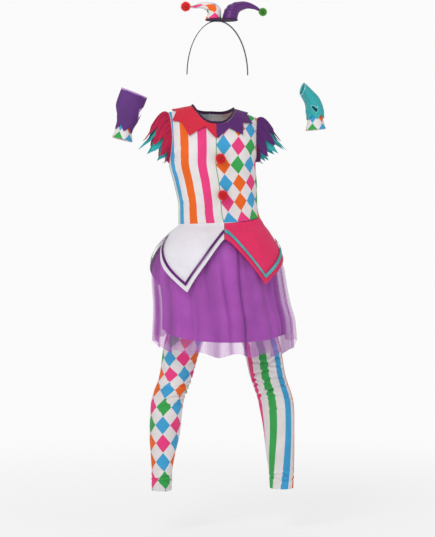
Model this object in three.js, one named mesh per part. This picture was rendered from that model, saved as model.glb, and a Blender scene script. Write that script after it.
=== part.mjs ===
// Harlequin costume: dress, leggings, fingerless gloves and mini jester hat, as worn
// Millimetres. +Z is up, the front faces -Y, and the origin is midway between the shoulders.
import * as THREE from "three";

// Cloth walls and the gap left at every seam
const GAP = 0.3;
const WALL = { cotton: 1.4, satin: 1.2, net: 1.0, knit: 1.2, felt: 1.6, ribbon: 1.0, band: 2.0 };
const COLOURS = {
  stripes: 0xe8dfe2,
  diamonds: 0xe0d6dc,
  crimson: 0xcd1950,
  red: 0xd72341,
  purple: 0x5a236e,
  teal: 0x2da5aa,
  white: 0xe4e0e6,
  pink: 0xe62d64,
  net: 0xa550af,
  slip: 0x7d3791,
  green: 0x50a532,
  dark: 0x37183f,
};

// Torso sections: centre line x, half width and half depth at each height
const TORSO = [
  { z: -283, x: 20, half: 109, deep: 77 },
  { z: -252, x: 14, half: 103, deep: 74 },
  { z: -237, x: 13, half: 102, deep: 74 },
  { z: -180, x: 6.5, half: 107, deep: 80 },
  { z: -125, x: -2, half: 112, deep: 86 },
  { z: -95, x: -1, half: 114, deep: 87 },
  { z: 20, x: -1, half: 119, deep: 87 },
];
const ROUNDNESS = 0.8;
const CHEST_Z = -95;
const SHOULDER_LINE = [
  { x: -125, z: 3 },
  { x: -52, z: 20 },
  { x: 0, z: 26 },
  { x: 52, z: 13 },
  { x: 125, z: -11 },
];
const WAIST_SEAM = [
  { x: -95, z: -284 },
  { x: 0, z: -281 },
  { x: 60, z: -278 },
  { x: 132, z: -264 },
];
// How far round the side the armhole edge lies: over is 0 on the shoulder, 1 at the chest
const ARMHOLE = [
  { over: 0, across: 0.87 },
  { over: 0.35, across: 0.8 },
  { over: 0.77, across: 0.76 },
  { over: 1.0, across: 0.83 },
  { over: 1.17, across: 1 },
];
const ARMPIT_OVER = 1.17;
const NECK = { columns: 0.4, across: 0.265, front: 0.635, back: 0.38, evenBelow: 0.6 };
const BODICE_GRID = { columns: 10, rows: 10 };

// Jagged collar: where its outline lies on the bodice, from centre front round to centre back
const COLLAR_LEFT = [
  { column: 0, across: 0, over: -0.85 },
  { column: 2, across: 0.11, over: -0.67 },
  { column: 5, across: 0.34, over: -0.8 },
  { column: 7, across: 0.48, over: -0.54 },
  { column: 9, across: 0.68, over: -0.48 },
  { column: 11, across: 0.56, over: -0.26 },
  { column: 13, across: 0.65, over: 0.04 },
  { column: 15, across: 0.48, over: 0.32 },
  { column: 18, across: 0.4, over: 0.8 },
  { column: 21, across: 0.15, over: 0.62 },
  { column: 24, across: 0, over: 0.85 },
];
const COLLAR_RIGHT = [
  { column: 0, across: 0, over: -0.85 },
  { column: 2, across: 0.125, over: -0.68 },
  { column: 5, across: 0.34, over: -0.76 },
  { column: 7, across: 0.35, over: -0.53 },
  { column: 9, across: 0.57, over: -0.49 },
  { column: 11, across: 0.42, over: -0.24 },
  { column: 13, across: 0.52, over: 0.04 },
  { column: 15, across: 0.42, over: 0.32 },
  { column: 18, across: 0.4, over: 0.8 },
  { column: 21, across: 0.15, over: 0.62 },
  { column: 24, across: 0, over: 0.85 },
];
const COLLAR_GRID = { columns: 24, rows: 3 };
const COLLAR_LIFT = 2.3;
// The binding leans in and up from the neck edge, towards a line at middleY
const BINDING = { columns: 40, inside: 2.1, leanIn: 1.8, above: 1.6, leanUp: 6.2, middleY: -8 };

// Sleeves: hem ring centre, arm direction, ring radius and petal lengths past the ring
const SLEEVES = {
  left: { side: -1, x: -149, z: -93, alongX: -0.72, alongZ: -0.69, radius: 42 },
  right: { side: 1, x: 146, z: -93, alongX: 0.74, alongZ: -0.67, radius: 41 },
};
const SLEEVE_LAYERS = {
  upper: { columns: 48, rows: 5, inset: 0, deeper: 0, petals: 8, gathers: 12, fold: 2.2, notch: 0.5 },
  lower: { columns: 28, rows: 4, inset: 2.2, deeper: 2.6, petals: 7, gathers: 0, fold: 0, notch: 0.62 },
};
const PETALS = { upper: [37, 30, 38, 40, 36, 34, 30, 38], lower: [56, 44, 38, 36, 38, 44, 52] };
const SLEEVE_CLEAR = 0.8;
// How strongly the cap stands out from the armhole, how much it rises, and its pull underarm
const SLEEVE_PUFF = { cap: 62, rise: 0.75, underarm: 0.1, middleZ: -60 };

// Skirt rings at each height, and the layers that hang on them
const SKIRT = [
  { z: -640, x: 31, half: 198, deep: 178, round: 1 },
  { z: -540, x: 30, half: 192, deep: 170, round: 1 },
  { z: -489, x: 24, half: 185, deep: 161, round: 1 },
  { z: -408, x: 15, half: 179, deep: 149, round: 0.97 },
  { z: -351, x: 14, half: 158, deep: 128, round: 0.9 },
  { z: -305, x: 17, half: 127, deep: 96, round: 0.83 },
  { z: -283, x: 20, half: 109, deep: 77, round: 0.8 },
  { z: -255, x: 14, half: 103, deep: 74, round: 0.8 },
];
const NET = { columns: 64, rows: 7, waves: 16, hem: -586, frontDrop: 35, hemWave: 6 };
const RUFFLE = { deepest: 11, reach: 110, uneven: 0.2 };
const SKIRT_DROP = 0.8;
const SKIRT_RADIUS = 120;
const LAYER_INSETS = { net: 3.7, slip: 6.7, slipBelowFolds: 2.2 };
const ROWS_CLOSER_AT_TOP = 1.45;
const SLIP = { columns: 40, rows: 5, hem: -556, frontDrop: 27 };
const OVERSKIRT = { columns: 10, rows: 6, clear: 4.2, clearBelow: 30, billow: 3, billowBelow: 160, waves: 9 };
const POINTED_PANELS = {
  skirt_panel_front_left: { from: 0, to: -80, tip: 0.41, start: -322, low: -456, end: -333, curve: 1 },
  skirt_panel_front_right: { from: 0, to: 88, tip: 0.37, start: -322, low: -437, end: -346, curve: 1.25 },
  skirt_panel_back_left: { from: -180, to: -80, tip: 0.5, start: -330, low: -455, end: -333, curve: 1 },
  skirt_panel_back_right: { from: 180, to: 88, tip: 0.5, start: -330, low: -455, end: -346, curve: 1.1 },
};
// The ribbon's heights are measured along the sloping hem, so steep stretches them upright
const RIBBON = { width: 7, fromHem: 12, steep: 1.35, lift: 1.6, columns: 20 };

// Leggings: the seat, then one leg each side. Sections run down from the waist.
const SEAT = [
  { z: -505, x: 24, half: 126, deep: 82 },
  { z: -450, x: 23, half: 122, deep: 84 },
  { z: -400, x: 20, half: 119, deep: 82 },
  { z: -350, x: 17, half: 110, deep: 77 },
  { z: -315, x: 18, half: 101, deep: 71 },
];
const LEG_LEFT = [
  { z: -975, x: -134, y: 8, half: 26, deep: 28 },
  { z: -930, x: -133, y: 8, half: 26.5, deep: 29 },
  { z: -892, x: -131, y: 9, half: 30.5, deep: 34 },
  { z: -821, x: -125, y: 10, half: 40, deep: 44 },
  { z: -749, x: -120, y: 3, half: 42, deep: 46 },
  { z: -676, x: -97, y: 0, half: 43, deep: 50 },
  { z: -606, x: -81, y: 0, half: 48.6, deep: 56 },
  { z: -560, x: -65, y: 0, half: 53, deep: 62 },
  { z: -505, x: -37, y: 0, half: 60.5, deep: 70 },
];
const LEG_RIGHT = [
  { z: -975, x: 182, y: 6, half: 31, deep: 31 },
  { z: -930, x: 181, y: 6, half: 33, deep: 33 },
  { z: -892, x: 179, y: 8, half: 36.4, deep: 37 },
  { z: -821, x: 175, y: 9, half: 40.5, deep: 44 },
  { z: -749, x: 166, y: 3, half: 46, deep: 48 },
  { z: -676, x: 143, y: 0, half: 46.8, deep: 51 },
  { z: -606, x: 129, y: 0, half: 48.5, deep: 56 },
  { z: -560, x: 112, y: 0, half: 53, deep: 62 },
  { z: -505, x: 85, y: 0, half: 60.5, deep: 70 },
];
const LEG_GRID = { columns: 18, rows: 13, top: -316, join: -395, crotch: -505, hem: -975, seatShare: 0.3 };
const SEAT_ROUNDNESS = 0.85;
const INSEAM_SHARE = 0.6;
const CREASES = [
  { z: -700, deep: 2.2, tall: 14 },
  { z: -730, deep: 2.6, tall: 12 },
  { z: -940, deep: 1.6, tall: 12 },
];
const CREASE_AT_SIDES = 0.4;
const WAISTBAND = { columns: 24, top: -288, tall: 27.7, half: 100.6, deep: 70.6, x: 18 };

// Gloves and cuffs: ring centre, tilt of the ring, half sizes in the ring's plane and along y
const GLOVE_LEFT = [
  { s: 0, x: -204, z: 55, tilt: -21.5, half: 35.5, deep: 15 },
  { s: 0.45, x: -217, z: 18, tilt: -15, half: 36, deep: 18 },
  { s: 0.75, x: -222, z: -10, tilt: -18, half: 29, deep: 21 },
  { s: 1, x: -229, z: -32, tilt: -22, half: 23.5, deep: 22.5 },
  { s: 1.35, x: -234, z: -48, tilt: -18, half: 25, deep: 24 },
];
const CUFF_LEFT = [
  { s: 0, x: -225, z: -18, tilt: -20, half: 20.5, deep: 18 },
  { s: 0.35, x: -229.5, z: -34, tilt: -20, half: 20.5, deep: 19.5 },
  { s: 1, x: -236, z: -66, tilt: -13.8, half: 27.5, deep: 25 },
];
const GLOVE_RIGHT = [
  { s: 0, x: 234.5, z: 70, tilt: 74, half: 16.5, deep: 34 },
  { s: 0.35, x: 252, z: 48, tilt: 58, half: 19.3, deep: 34 },
  { s: 0.6, x: 262, z: 31, tilt: 38, half: 23, deep: 31 },
  { s: 0.85, x: 268, z: 10, tilt: 8, half: 24, deep: 27 },
  { s: 1, x: 269, z: 1, tilt: 4, half: 23.5, deep: 25 },
  { s: 1.35, x: 270, z: -12, tilt: 4, half: 24.5, deep: 26 },
];
const CUFF_RIGHT = [
  { s: 0, x: 268.5, z: 8, tilt: 6, half: 20.5, deep: 21.5 },
  { s: 0.35, x: 269, z: -7, tilt: 4, half: 20.8, deep: 22 },
  { s: 1, x: 270, z: -37, tilt: 6, half: 27, deep: 26 },
];
const GLOVE_GRID = { columns: 18, rows: 7, petals: 6 };
const PETAL_SHARE = 0.3;
const CUFF_GRID = { columns: 18, rows: 2 };
// Cells left out of a glove's grid for the thumb
const THUMB_HOLES = {
  left: { column: 0, spread: 2, row: 2, tall: 2 },
  right: { column: 13, spread: 1, row: 4, tall: 1 },
};

// Mini hat: two horns, a base band under them and the band over the head
const HAT_Y = -12;
const HORN_DIAMONDS = [
  { s: 0, x: -0.3, z: 245.4, tilt: 0, half: 20.5, deep: 27 },
  { s: 0.3, x: 1.5, z: 264, tilt: 20, half: 19, deep: 23 },
  { s: 0.52, x: -11, z: 278, tilt: 52, half: 13, deep: 16 },
  { s: 0.74, x: -33, z: 280.7, tilt: 84, half: 8.2, deep: 10 },
  { s: 0.9, x: -50, z: 276.6, tilt: 97, half: 4.6, deep: 5.5 },
  { s: 1, x: -60.5, z: 276.3, tilt: 92, half: 3, deep: 3.4 },
];
const HORN_PURPLE = [
  { s: 0, x: 41.5, z: 245.4, tilt: 0, half: 20.4, deep: 27 },
  { s: 0.3, x: 46.8, z: 265, tilt: -18, half: 19.5, deep: 23 },
  { s: 0.52, x: 60, z: 277.5, tilt: -45, half: 15.5, deep: 17.5 },
  { s: 0.74, x: 85.3, z: 283, tilt: -78, half: 10, deep: 11.5 },
  { s: 0.9, x: 107, z: 277.8, tilt: -108, half: 6, deep: 7 },
  { s: 1, x: 119.3, z: 271, tilt: -120, half: 3.4, deep: 3.6 },
];
const HORN_GRID = { columns: 12, rows: 7 };
const HAT_BASE = { sides: 28, x: 20.8, top: 244.8, half: 42.5, deep: 32, thick: 2.5 };
const HEADBAND = { columns: 26, x: 10, half: 80, top: 242, low: 102, width: 12 };

// Pompoms: centre, size and colour. Locks stand on the faces of a small core.
const POMPOMS = {
  pompom_upper: { x: 7.8, y: -98.5, z: -118, radius: 12.6, colour: "red" },
  pompom_lower: { x: 15, y: -88.9, z: -210.6, radius: 12.6, colour: "red" },
  horn_ball_red: { x: -72.3, y: HAT_Y, z: 276.8, radius: 12.2, colour: "red" },
  horn_ball_green: { x: 128.6, y: HAT_Y, z: 266.2, radius: 10.4, colour: "green" },
};
const CORE_SHARE = 0.62;
const LOCKS_EACH = 60;

const TURN = 2 * Math.PI;
const QUARTER = Math.PI / 2;
const mix = (a, b, t) => a + (b - a) * t;
const clamp = (value, low, high) => Math.min(high, Math.max(low, value));
const ease = (t) => t * t * (3 - 2 * t);
const signedPower = (value, power) => Math.sign(value) * Math.abs(value) ** power;

// Smooth reading of a table with named columns, without overshoot. Its key runs upward.
function reader(rows, key) {
  const names = Object.keys(rows[0]).filter((name) => name !== key);
  const step = (k, name) => (rows[k + 1][name] - rows[k][name]) / (rows[k + 1][key] - rows[k][key]);
  const slope = (k, name) => {
    if (k === 0) return step(0, name);
    if (k === rows.length - 1) return step(k - 1, name);
    const before = step(k - 1, name);
    const after = step(k, name);
    return before * after > 0 ? (2 * before * after) / (before + after) : 0;
  };
  return (value) => {
    let k = 0;
    while (k < rows.length - 2 && value > rows[k + 1][key]) k++;
    const span = rows[k + 1][key] - rows[k][key];
    const t = clamp((value - rows[k][key]) / span, 0, 1);
    const found = {};
    for (const name of names) {
      const rise = ease(t);
      const startPull = t * (1 - t) * (1 - t) * span * slope(k, name);
      const endPull = t * t * (t - 1) * span * slope(k + 1, name);
      found[name] = mix(rows[k][name], rows[k + 1][name], rise) + startPull + endPull;
    }
    return found;
  };
}

// A cloth wall over a grid of points: its outer face, the same face moved in, and rims
function clothWall(name, colour, shape) {
  const { columns, rows, closed = false, point, wall, keep = () => true } = shape;
  const across = closed ? columns : columns + 1;
  const outer = [];
  const normals = [];
  for (let j = 0; j <= rows; j++) {
    for (let i = 0; i < across; i++) {
      const u = i / columns;
      const v = j / rows;
      outer.push(point(u, v));
      const alongU = point(u + 0.5 / columns, v).sub(point(u - 0.5 / columns, v));
      const alongV = point(u, v + 0.5 / rows).sub(point(u, v - 0.5 / rows));
      normals.push(alongU.cross(alongV).normalize());
    }
  }
  const centre = outer.reduce((sum, p) => sum.add(p), new THREE.Vector3()).divideScalar(outer.length);
  const facing = outer.reduce((sum, p, k) => sum + normals[k].dot(p.clone().sub(centre)), 0);
  const out = facing > 0 ? 1 : -1;
  const inner = outer.map((p, k) => p.clone().addScaledVector(normals[k], -out * wall));
  const at = (i, j) => j * across + (closed ? i % columns : i);
  const faces = [];
  const edges = new Map();
  for (let j = 0; j < rows; j++) {
    for (let i = 0; i < columns; i++) {
      if (!keep(i, j)) continue;
      const cell = [at(i, j), at(i + 1, j), at(i + 1, j + 1), at(i, j + 1)];
      if (out < 0) cell.reverse();
      faces.push([cell[0], cell[1], cell[2]], [cell[0], cell[2], cell[3]]);
      for (let k = 0; k < 4; k++) edges.set(`${cell[k]},${cell[(k + 1) % 4]}`, [cell[k], cell[(k + 1) % 4]]);
    }
  }
  const count = outer.length;
  const triangles = faces.slice();
  for (const [a, b, c] of faces) triangles.push([a + count, c + count, b + count]);
  for (const [a, b] of edges.values()) {
    if (edges.has(`${b},${a}`)) continue;
    triangles.push([b, a, a + count], [b, a + count, b + count]);
  }
  return solid(name, colour, outer.concat(inner), triangles);
}

function solid(name, colour, points, triangles) {
  const used = [...new Set(triangles.flat())];
  const order = new Map(used.map((old, fresh) => [old, fresh]));
  const geometry = new THREE.BufferGeometry();
  const places = used.flatMap((k) => points[k].toArray());
  geometry.setAttribute("position", new THREE.Float32BufferAttribute(places, 3));
  geometry.setIndex(triangles.flat().map((k) => order.get(k)));
  geometry.computeVertexNormals();
  const material = new THREE.MeshStandardMaterial({ color: COLOURS[colour], roughness: 0.8 });
  const mesh = new THREE.Mesh(geometry, material);
  mesh.name = name;
  return mesh;
}

const torsoAt = reader(TORSO, "z");
const shoulderAt = reader(SHOULDER_LINE, "x");
const waistAt = reader(WAIST_SEAM, "x");
const armholeAt = reader(ARMHOLE, "over");

// A point on the bodice. across is 0 at the centre line and 1 at the side; over is -2 at
// the front waist, -1 at the chest, 0 on the shoulder and 2 at the back waist.
function torsoPoint(side, across, over) {
  const angle = across * QUARTER;
  const sine = signedPower(Math.sin(angle), ROUNDNESS);
  const cosine = signedPower(Math.cos(angle), ROUNDNESS);
  const face = over < 0 ? -1 : 1;
  const far = Math.abs(over);
  if (far <= 1) {
    const section = torsoAt(CHEST_Z);
    const half = mix(torsoAt(20).half, section.half, far);
    const x = section.x + side * half * sine;
    const z = mix(CHEST_Z, shoulderAt(x).z, Math.cos(far * QUARTER));
    const y = face * section.deep * cosine * Math.sin(far * QUARTER) ** ROUNDNESS;
    return new THREE.Vector3(x, y, z);
  }
  const low = torsoAt(-283);
  const z = mix(CHEST_Z, waistAt(low.x + side * low.half * sine).z, far - 1);
  const section = torsoAt(z);
  return new THREE.Vector3(section.x + side * section.half * sine, face * section.deep * cosine, z);
}

// Where the neckline or shoulder seam ends a column of the bodice panel
function panelTop(u, face) {
  const turn = (u / NECK.columns) * QUARTER;
  if (u < NECK.columns) {
    const drop = face < 0 ? NECK.front : NECK.back;
    return { across: NECK.across * Math.sin(turn), over: drop * Math.cos(turn) };
  }
  const along = (u - NECK.columns) / (1 - NECK.columns);
  return { across: mix(NECK.across, ARMHOLE[0].across, along), over: 0 };
}

function bodicePoint(side, face) {
  return (u, v) => {
    const top = panelTop(u, face);
    const atEdge = armholeAt(2 * v).across;
    const share = mix(top.across / ARMHOLE[0].across, u, ease(clamp(v / NECK.evenBelow, 0, 1)));
    const p = torsoPoint(side, atEdge * share, face * mix(top.over, 2, v));
    p.x += (side * GAP) / 2;
    p.y += (face * GAP) / 2;
    return p;
  };
}

function bodicePanel(name, colour, side, face) {
  return clothWall(name, colour, { ...BODICE_GRID, point: bodicePoint(side, face), wall: WALL.cotton });
}

// Neckline at a turn from centre front (0) to centre back (1)
function necklineOver(turn) {
  const angle = turn * Math.PI;
  const drop = turn < 0.5 ? NECK.front : NECK.back;
  return { across: NECK.across * Math.sin(angle), over: -drop * Math.cos(angle) };
}

// Outward direction of the bodice at a point
function torsoNormal(side, across, over) {
  const step = 0.02;
  const round = torsoPoint(side, across + step, over).sub(torsoPoint(side, across - step, over));
  const down = torsoPoint(side, across, over + step).sub(torsoPoint(side, across, over - step));
  return round.cross(down).multiplyScalar(side).normalize();
}

function collarHalf(name, colour, side, outline) {
  const edgeAt = (turn) => {
    const spot = clamp(turn, 0, 1) * COLLAR_GRID.columns;
    const k = Math.max(1, outline.findIndex((row) => row.column >= spot));
    const [before, after] = [outline[k - 1], outline[k]];
    const share = (spot - before.column) / (after.column - before.column);
    return { across: mix(before.across, after.across, share), over: mix(before.over, after.over, share) };
  };
  const point = (u, v) => {
    const edge = edgeAt(u);
    const neck = necklineOver(clamp(u, 0, 1));
    const across = mix(neck.across, edge.across, v);
    const over = mix(neck.over, edge.over, v);
    const p = torsoPoint(side, across, over);
    p.x += side * GAP;
    return p.addScaledVector(torsoNormal(side, across, over), COLLAR_LIFT + WALL.satin);
  };
  return clothWall(name, colour, { ...COLLAR_GRID, point, wall: WALL.satin });
}

// Binding over the neck edge, just inside the collar's inner edge
function neckBinding() {
  const point = (u, v) => {
    const turn = u < 0.5 ? 2 * u : 2 - 2 * u;
    const side = u < 0.5 ? 1 : -1;
    const neck = necklineOver(Math.abs(turn));
    const p = torsoPoint(side * Math.sign(turn || 1), neck.across, neck.over);
    const middle = new THREE.Vector3(torsoAt(CHEST_Z).x, BINDING.middleY, p.z);
    const inward = middle.sub(p).normalize();
    p.addScaledVector(inward, BINDING.inside + v * BINDING.leanIn);
    p.z += BINDING.above + v * BINDING.leanUp;
    return p;
  };
  return clothWall("neck_binding", "dark", {
    columns: BINDING.columns,
    rows: 1,
    closed: true,
    point,
    wall: WALL.satin,
  });
}

// Sleeve surface: along is 0 at the armhole, 1 at the hem ring and more down the petals
function sleevePoint(arm, layer, petalLengths) {
  const direction = new THREE.Vector3(arm.alongX, 0, arm.alongZ).normalize();
  const up = new THREE.Vector3(-arm.side * direction.z, 0, arm.side * direction.x);
  if (up.z < 0) up.negate();
  const centre = new THREE.Vector3(arm.x, 0, arm.z);
  const radius = arm.radius - layer.inset - layer.deeper;
  return (u, v) => {
    const turn = ((u % 1) + 1) % 1;
    const angle = turn * TURN;
    const over = turn < 0.5 ? -ARMPIT_OVER * turn * 2 : ARMPIT_OVER * (1 - turn) * 2;
    const start = torsoPoint(arm.side, armholeAt(Math.abs(over)).across, over);
    const middle = new THREE.Vector3(start.x, 0, SLEEVE_PUFF.middleZ);
    start.x += arm.side * SLEEVE_CLEAR;
    start.addScaledVector(middle.sub(start).setX(0).normalize(), layer.inset);
    const radial = up.clone().multiplyScalar(Math.cos(angle));
    radial.y = -Math.sin(angle);
    const end = centre.clone().addScaledVector(radial, radius);
    const petal = turn * layer.petals;
    const length = petalLengths[Math.floor(petal) % layer.petals];
    const tipShare = 1 - Math.abs(2 * (petal % 1) - 1);
    const along = v * (layer.notch + (tipShare * length) / SLEEVE_PUFF.cap);
    const cap = 0.5 + 0.5 * Math.cos(angle);
    const pull = SLEEVE_PUFF.cap * mix(SLEEVE_PUFF.underarm, 1, cap);
    const leave = new THREE.Vector3(arm.side, 0, SLEEVE_PUFF.rise * cap).multiplyScalar(pull);
    const arrive = direction.clone().multiplyScalar(pull);
    const t = Math.min(along, 1);
    const p = start.multiplyScalar(1 - ease(t)).addScaledVector(end, ease(t));
    p.addScaledVector(leave, t * (1 - t) * (1 - t));
    p.addScaledVector(arrive, t * t * (t - 1));
    if (along > 1) p.addScaledVector(direction, (along - 1) * SLEEVE_PUFF.cap);
    const swell = Math.sin(clamp(along, 0, 1.6) * QUARTER) * cap * layer.fold;
    const deeper = layer.deeper * Math.sin(clamp(3 * t, 0, 1) * QUARTER) * (1 - ease(t));
    return p.addScaledVector(radial, swell * (1 + Math.cos(layer.gathers * angle)) - deeper);
  };
}

function sleeveLayer(name, colour, arm, layerName) {
  const layer = SLEEVE_LAYERS[layerName];
  const { columns, rows } = layer;
  const point = sleevePoint(arm, layer, PETALS[layerName]);
  return clothWall(name, colour, { columns, rows, closed: true, point, wall: WALL.satin });
}

const skirtAt = reader(SKIRT, "z");

// A point on the skirt rings, out from the ring by a distance. The angle is 0 at the front.
function skirtPoint(degrees, z, out) {
  const ring = skirtAt(z);
  const angle = (degrees * Math.PI) / 180;
  const sine = signedPower(Math.sin(angle), ring.round);
  const cosine = signedPower(Math.cos(angle), ring.round);
  return new THREE.Vector3(ring.x + (ring.half + out) * sine, -(ring.deep + out) * cosine, z);
}

function seamZ(degrees) {
  const ring = skirtAt(-283);
  return waistAt(ring.x + ring.half * Math.sin((degrees * Math.PI) / 180)).z - SKIRT_DROP;
}

const ruffleDepth = (drop) => RUFFLE.deepest * (1 - Math.exp(-Math.max(drop, 0) / RUFFLE.reach));

function netSkirt() {
  const point = (u, v) => {
    const turn = u * TURN;
    const degrees = u * 360 + 4 * Math.sin(3 * turn + 1) + 2 * Math.sin(5 * turn);
    const top = seamZ(degrees);
    const swing = Math.cos((degrees * Math.PI) / 180);
    const wave = Math.cos(turn * NET.waves);
    const hem = NET.hem - NET.frontDrop * swing + NET.hemWave * (wave + Math.sin(2 * turn + 2));
    const z = mix(top, hem, signedPower(v, ROWS_CLOSER_AT_TOP));
    const depth = ruffleDepth(top - z) * (1 - RUFFLE.uneven + RUFFLE.uneven * Math.sin(7 * turn));
    return skirtPoint(degrees, z, depth * (wave - 1) - LAYER_INSETS.net);
  };
  const { columns, rows } = NET;
  return clothWall("net_skirt", "net", { columns, rows, closed: true, point, wall: WALL.net });
}

function underSkirt() {
  const point = (u, v) => {
    const degrees = u * 360;
    const top = seamZ(degrees);
    const hem = SLIP.hem - SLIP.frontDrop * Math.cos((degrees * Math.PI) / 180);
    const z = mix(top, hem, signedPower(v, ROWS_CLOSER_AT_TOP));
    return skirtPoint(degrees, z, -LAYER_INSETS.slip - LAYER_INSETS.slipBelowFolds * ruffleDepth(top - z));
  };
  const { columns, rows } = SLIP;
  return clothWall("under_skirt", "slip", { columns, rows, closed: true, point, wall: WALL.satin });
}

// Hem height of a pointed panel at a share of its width
function pointedHem(panel, u) {
  const share = u < panel.tip ? u / panel.tip : (1 - u) / (1 - panel.tip);
  const notch = u < panel.tip ? panel.start : panel.end;
  return mix(notch, panel.low, clamp(share, 0, 1) ** panel.curve);
}

function panelSurface(panel, u, z, extra) {
  const inset = (GAP / 2 / SKIRT_RADIUS) * (180 / Math.PI) * Math.sign(panel.to - panel.from);
  const degrees = mix(panel.from + inset, panel.to - inset, u);
  const drop = seamZ(degrees) - z;
  const lift = OVERSKIRT.clear * ease(clamp(drop / OVERSKIRT.clearBelow, 0, 1));
  const wave = 0.5 + 0.5 * Math.sin(OVERSKIRT.waves * u + 1);
  const billow = OVERSKIRT.billow * wave * clamp(drop / OVERSKIRT.billowBelow, 0, 1);
  return skirtPoint(degrees, z, lift + billow + extra);
}

function pointedPanel(name, colour) {
  const panel = POINTED_PANELS[name];
  const point = (u, v) => {
    const degrees = mix(panel.from, panel.to, u);
    return panelSurface(panel, u, mix(seamZ(degrees), pointedHem(panel, u), v), 0);
  };
  const { columns, rows } = OVERSKIRT;
  return clothWall(name, colour, { columns, rows, point, wall: WALL.satin });
}

function panelRibbon(name, colour, panelName) {
  const panel = POINTED_PANELS[panelName];
  const point = (u, v) => {
    const up = mix(RIBBON.fromHem + RIBBON.width, RIBBON.fromHem, v);
    const z = pointedHem(panel, u) + up * RIBBON.steep;
    return panelSurface(panel, u, z, GAP + WALL.ribbon + RIBBON.lift);
  };
  return clothWall(name, colour, { columns: RIBBON.columns, rows: 1, point, wall: WALL.ribbon });
}

const seatAt = reader(SEAT, "z");

// One legging: half of the seat, then the leg, with its free edges meeting down the inseam
function leggingPoint(side, legTable) {
  const legAt = reader(legTable, "z");
  return (u, v) => {
    const { top, join, crotch, hem, seatShare } = LEG_GRID;
    const down = (v - seatShare) / (1 - seatShare);
    const z = v < seatShare ? mix(top, crotch, v / seatShare) : mix(crotch, hem, down);
    const closing = clamp((join - z) / (join - crotch), 0, 1) ** 2;
    const seat = seatAt(Math.max(z, crotch));
    const leg = legAt(Math.min(z, crotch));
    const round = u * Math.PI;
    const hipX = seat.x + side * (seat.half * signedPower(Math.sin(round), SEAT_ROUNDNESS) + GAP / 2);
    const hipY = -seat.deep * signedPower(Math.cos(round), SEAT_ROUNDNESS);
    const crease = CREASES.reduce((sum, c) => sum + c.deep * Math.exp(-(((z - c.z) / c.tall) ** 2)), 0);
    const inner = u * TURN;
    const facing = Math.abs(Math.sin(inner));
    const legX = leg.x - side * (leg.half - crease * CREASE_AT_SIDES) * Math.cos(inner);
    const legY = leg.y - (leg.deep - crease * facing) * Math.sin(inner);
    const p = new THREE.Vector3(mix(hipX, legX, closing), mix(hipY, legY, closing), z);
    if (closing > 0.99) p.y += (u < 0.5 ? -GAP : GAP) * INSEAM_SHARE * Math.max(0, Math.cos(inner));
    return p;
  };
}

function legging(name, colour, side, legTable) {
  const { columns, rows } = LEG_GRID;
  return clothWall(name, colour, { columns, rows, point: leggingPoint(side, legTable), wall: WALL.knit });
}

function waistband() {
  const { columns, top, tall, half, deep, x } = WAISTBAND;
  const point = (u, v) => {
    const angle = u * TURN;
    const sine = signedPower(Math.sin(angle), SEAT_ROUNDNESS);
    const cosine = signedPower(Math.cos(angle), SEAT_ROUNDNESS);
    return new THREE.Vector3(x + half * sine, -deep * cosine, top - tall * v);
  };
  const shape = { columns, rows: 1, closed: true, point, wall: WALL.band };
  return clothWall("leggings_waistband", "purple", shape);
}

// A tube through tilted rings, with a pointed hem if it has petals
function tubePoint(table, middleY, petals = 0) {
  const ringAt = reader(table, "s");
  return (u, v) => {
    const angle = u * TURN;
    const tip = petals ? 1 - Math.abs(2 * ((((u * petals) % 1) + 1) % 1) - 1) : 0;
    const ring = ringAt(v * (1 + PETAL_SHARE * tip));
    const tilt = (ring.tilt * Math.PI) / 180;
    const inPlane = ring.half * Math.cos(angle);
    const y = middleY + ring.deep * Math.sin(angle);
    return new THREE.Vector3(ring.x + inPlane * Math.cos(tilt), y, ring.z + inPlane * Math.sin(tilt));
  };
}

function glove(name, colour, table, hole) {
  const { columns, rows, petals } = GLOVE_GRID;
  const keep = (i, j) => {
    const apart = (i - hole.column + hole.spread + columns) % columns;
    return !(apart < 2 * hole.spread && j >= hole.row && j < hole.row + hole.tall);
  };
  const point = tubePoint(table, 0, petals);
  return clothWall(name, colour, { columns, rows, closed: true, point, wall: WALL.knit, keep });
}

function cuff(name, table) {
  const point = tubePoint(table, 0);
  return clothWall(name, "diamonds", { ...CUFF_GRID, closed: true, point, wall: WALL.knit });
}

function horn(name, colour, table) {
  const point = tubePoint(table, HAT_Y);
  return clothWall(name, colour, { ...HORN_GRID, closed: true, point, wall: WALL.felt });
}

function hatBase() {
  const { sides, x, top, half, deep, thick } = HAT_BASE;
  const oval = new THREE.Shape();
  for (let k = 0; k < sides; k++) {
    const angle = (k / sides) * TURN;
    oval[k ? "lineTo" : "moveTo"](x + half * Math.cos(angle), HAT_Y + deep * Math.sin(angle));
  }
  const geometry = new THREE.ExtrudeGeometry(oval, { depth: thick, bevelEnabled: false });
  geometry.translate(0, 0, top - thick);
  const mesh = new THREE.Mesh(geometry, new THREE.MeshStandardMaterial({ color: COLOURS.dark }));
  mesh.name = "hat_base";
  return mesh;
}

function headband() {
  const { columns, x, half, top, low, width } = HEADBAND;
  const point = (u, v) => {
    const angle = Math.PI * u;
    const y = HAT_Y + (v - 0.5) * width;
    return new THREE.Vector3(x - half * Math.cos(angle), y, low + (top - low) * Math.sin(angle));
  };
  return clothWall("headband", "dark", { columns, rows: 1, point, wall: WALL.band });
}

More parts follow.
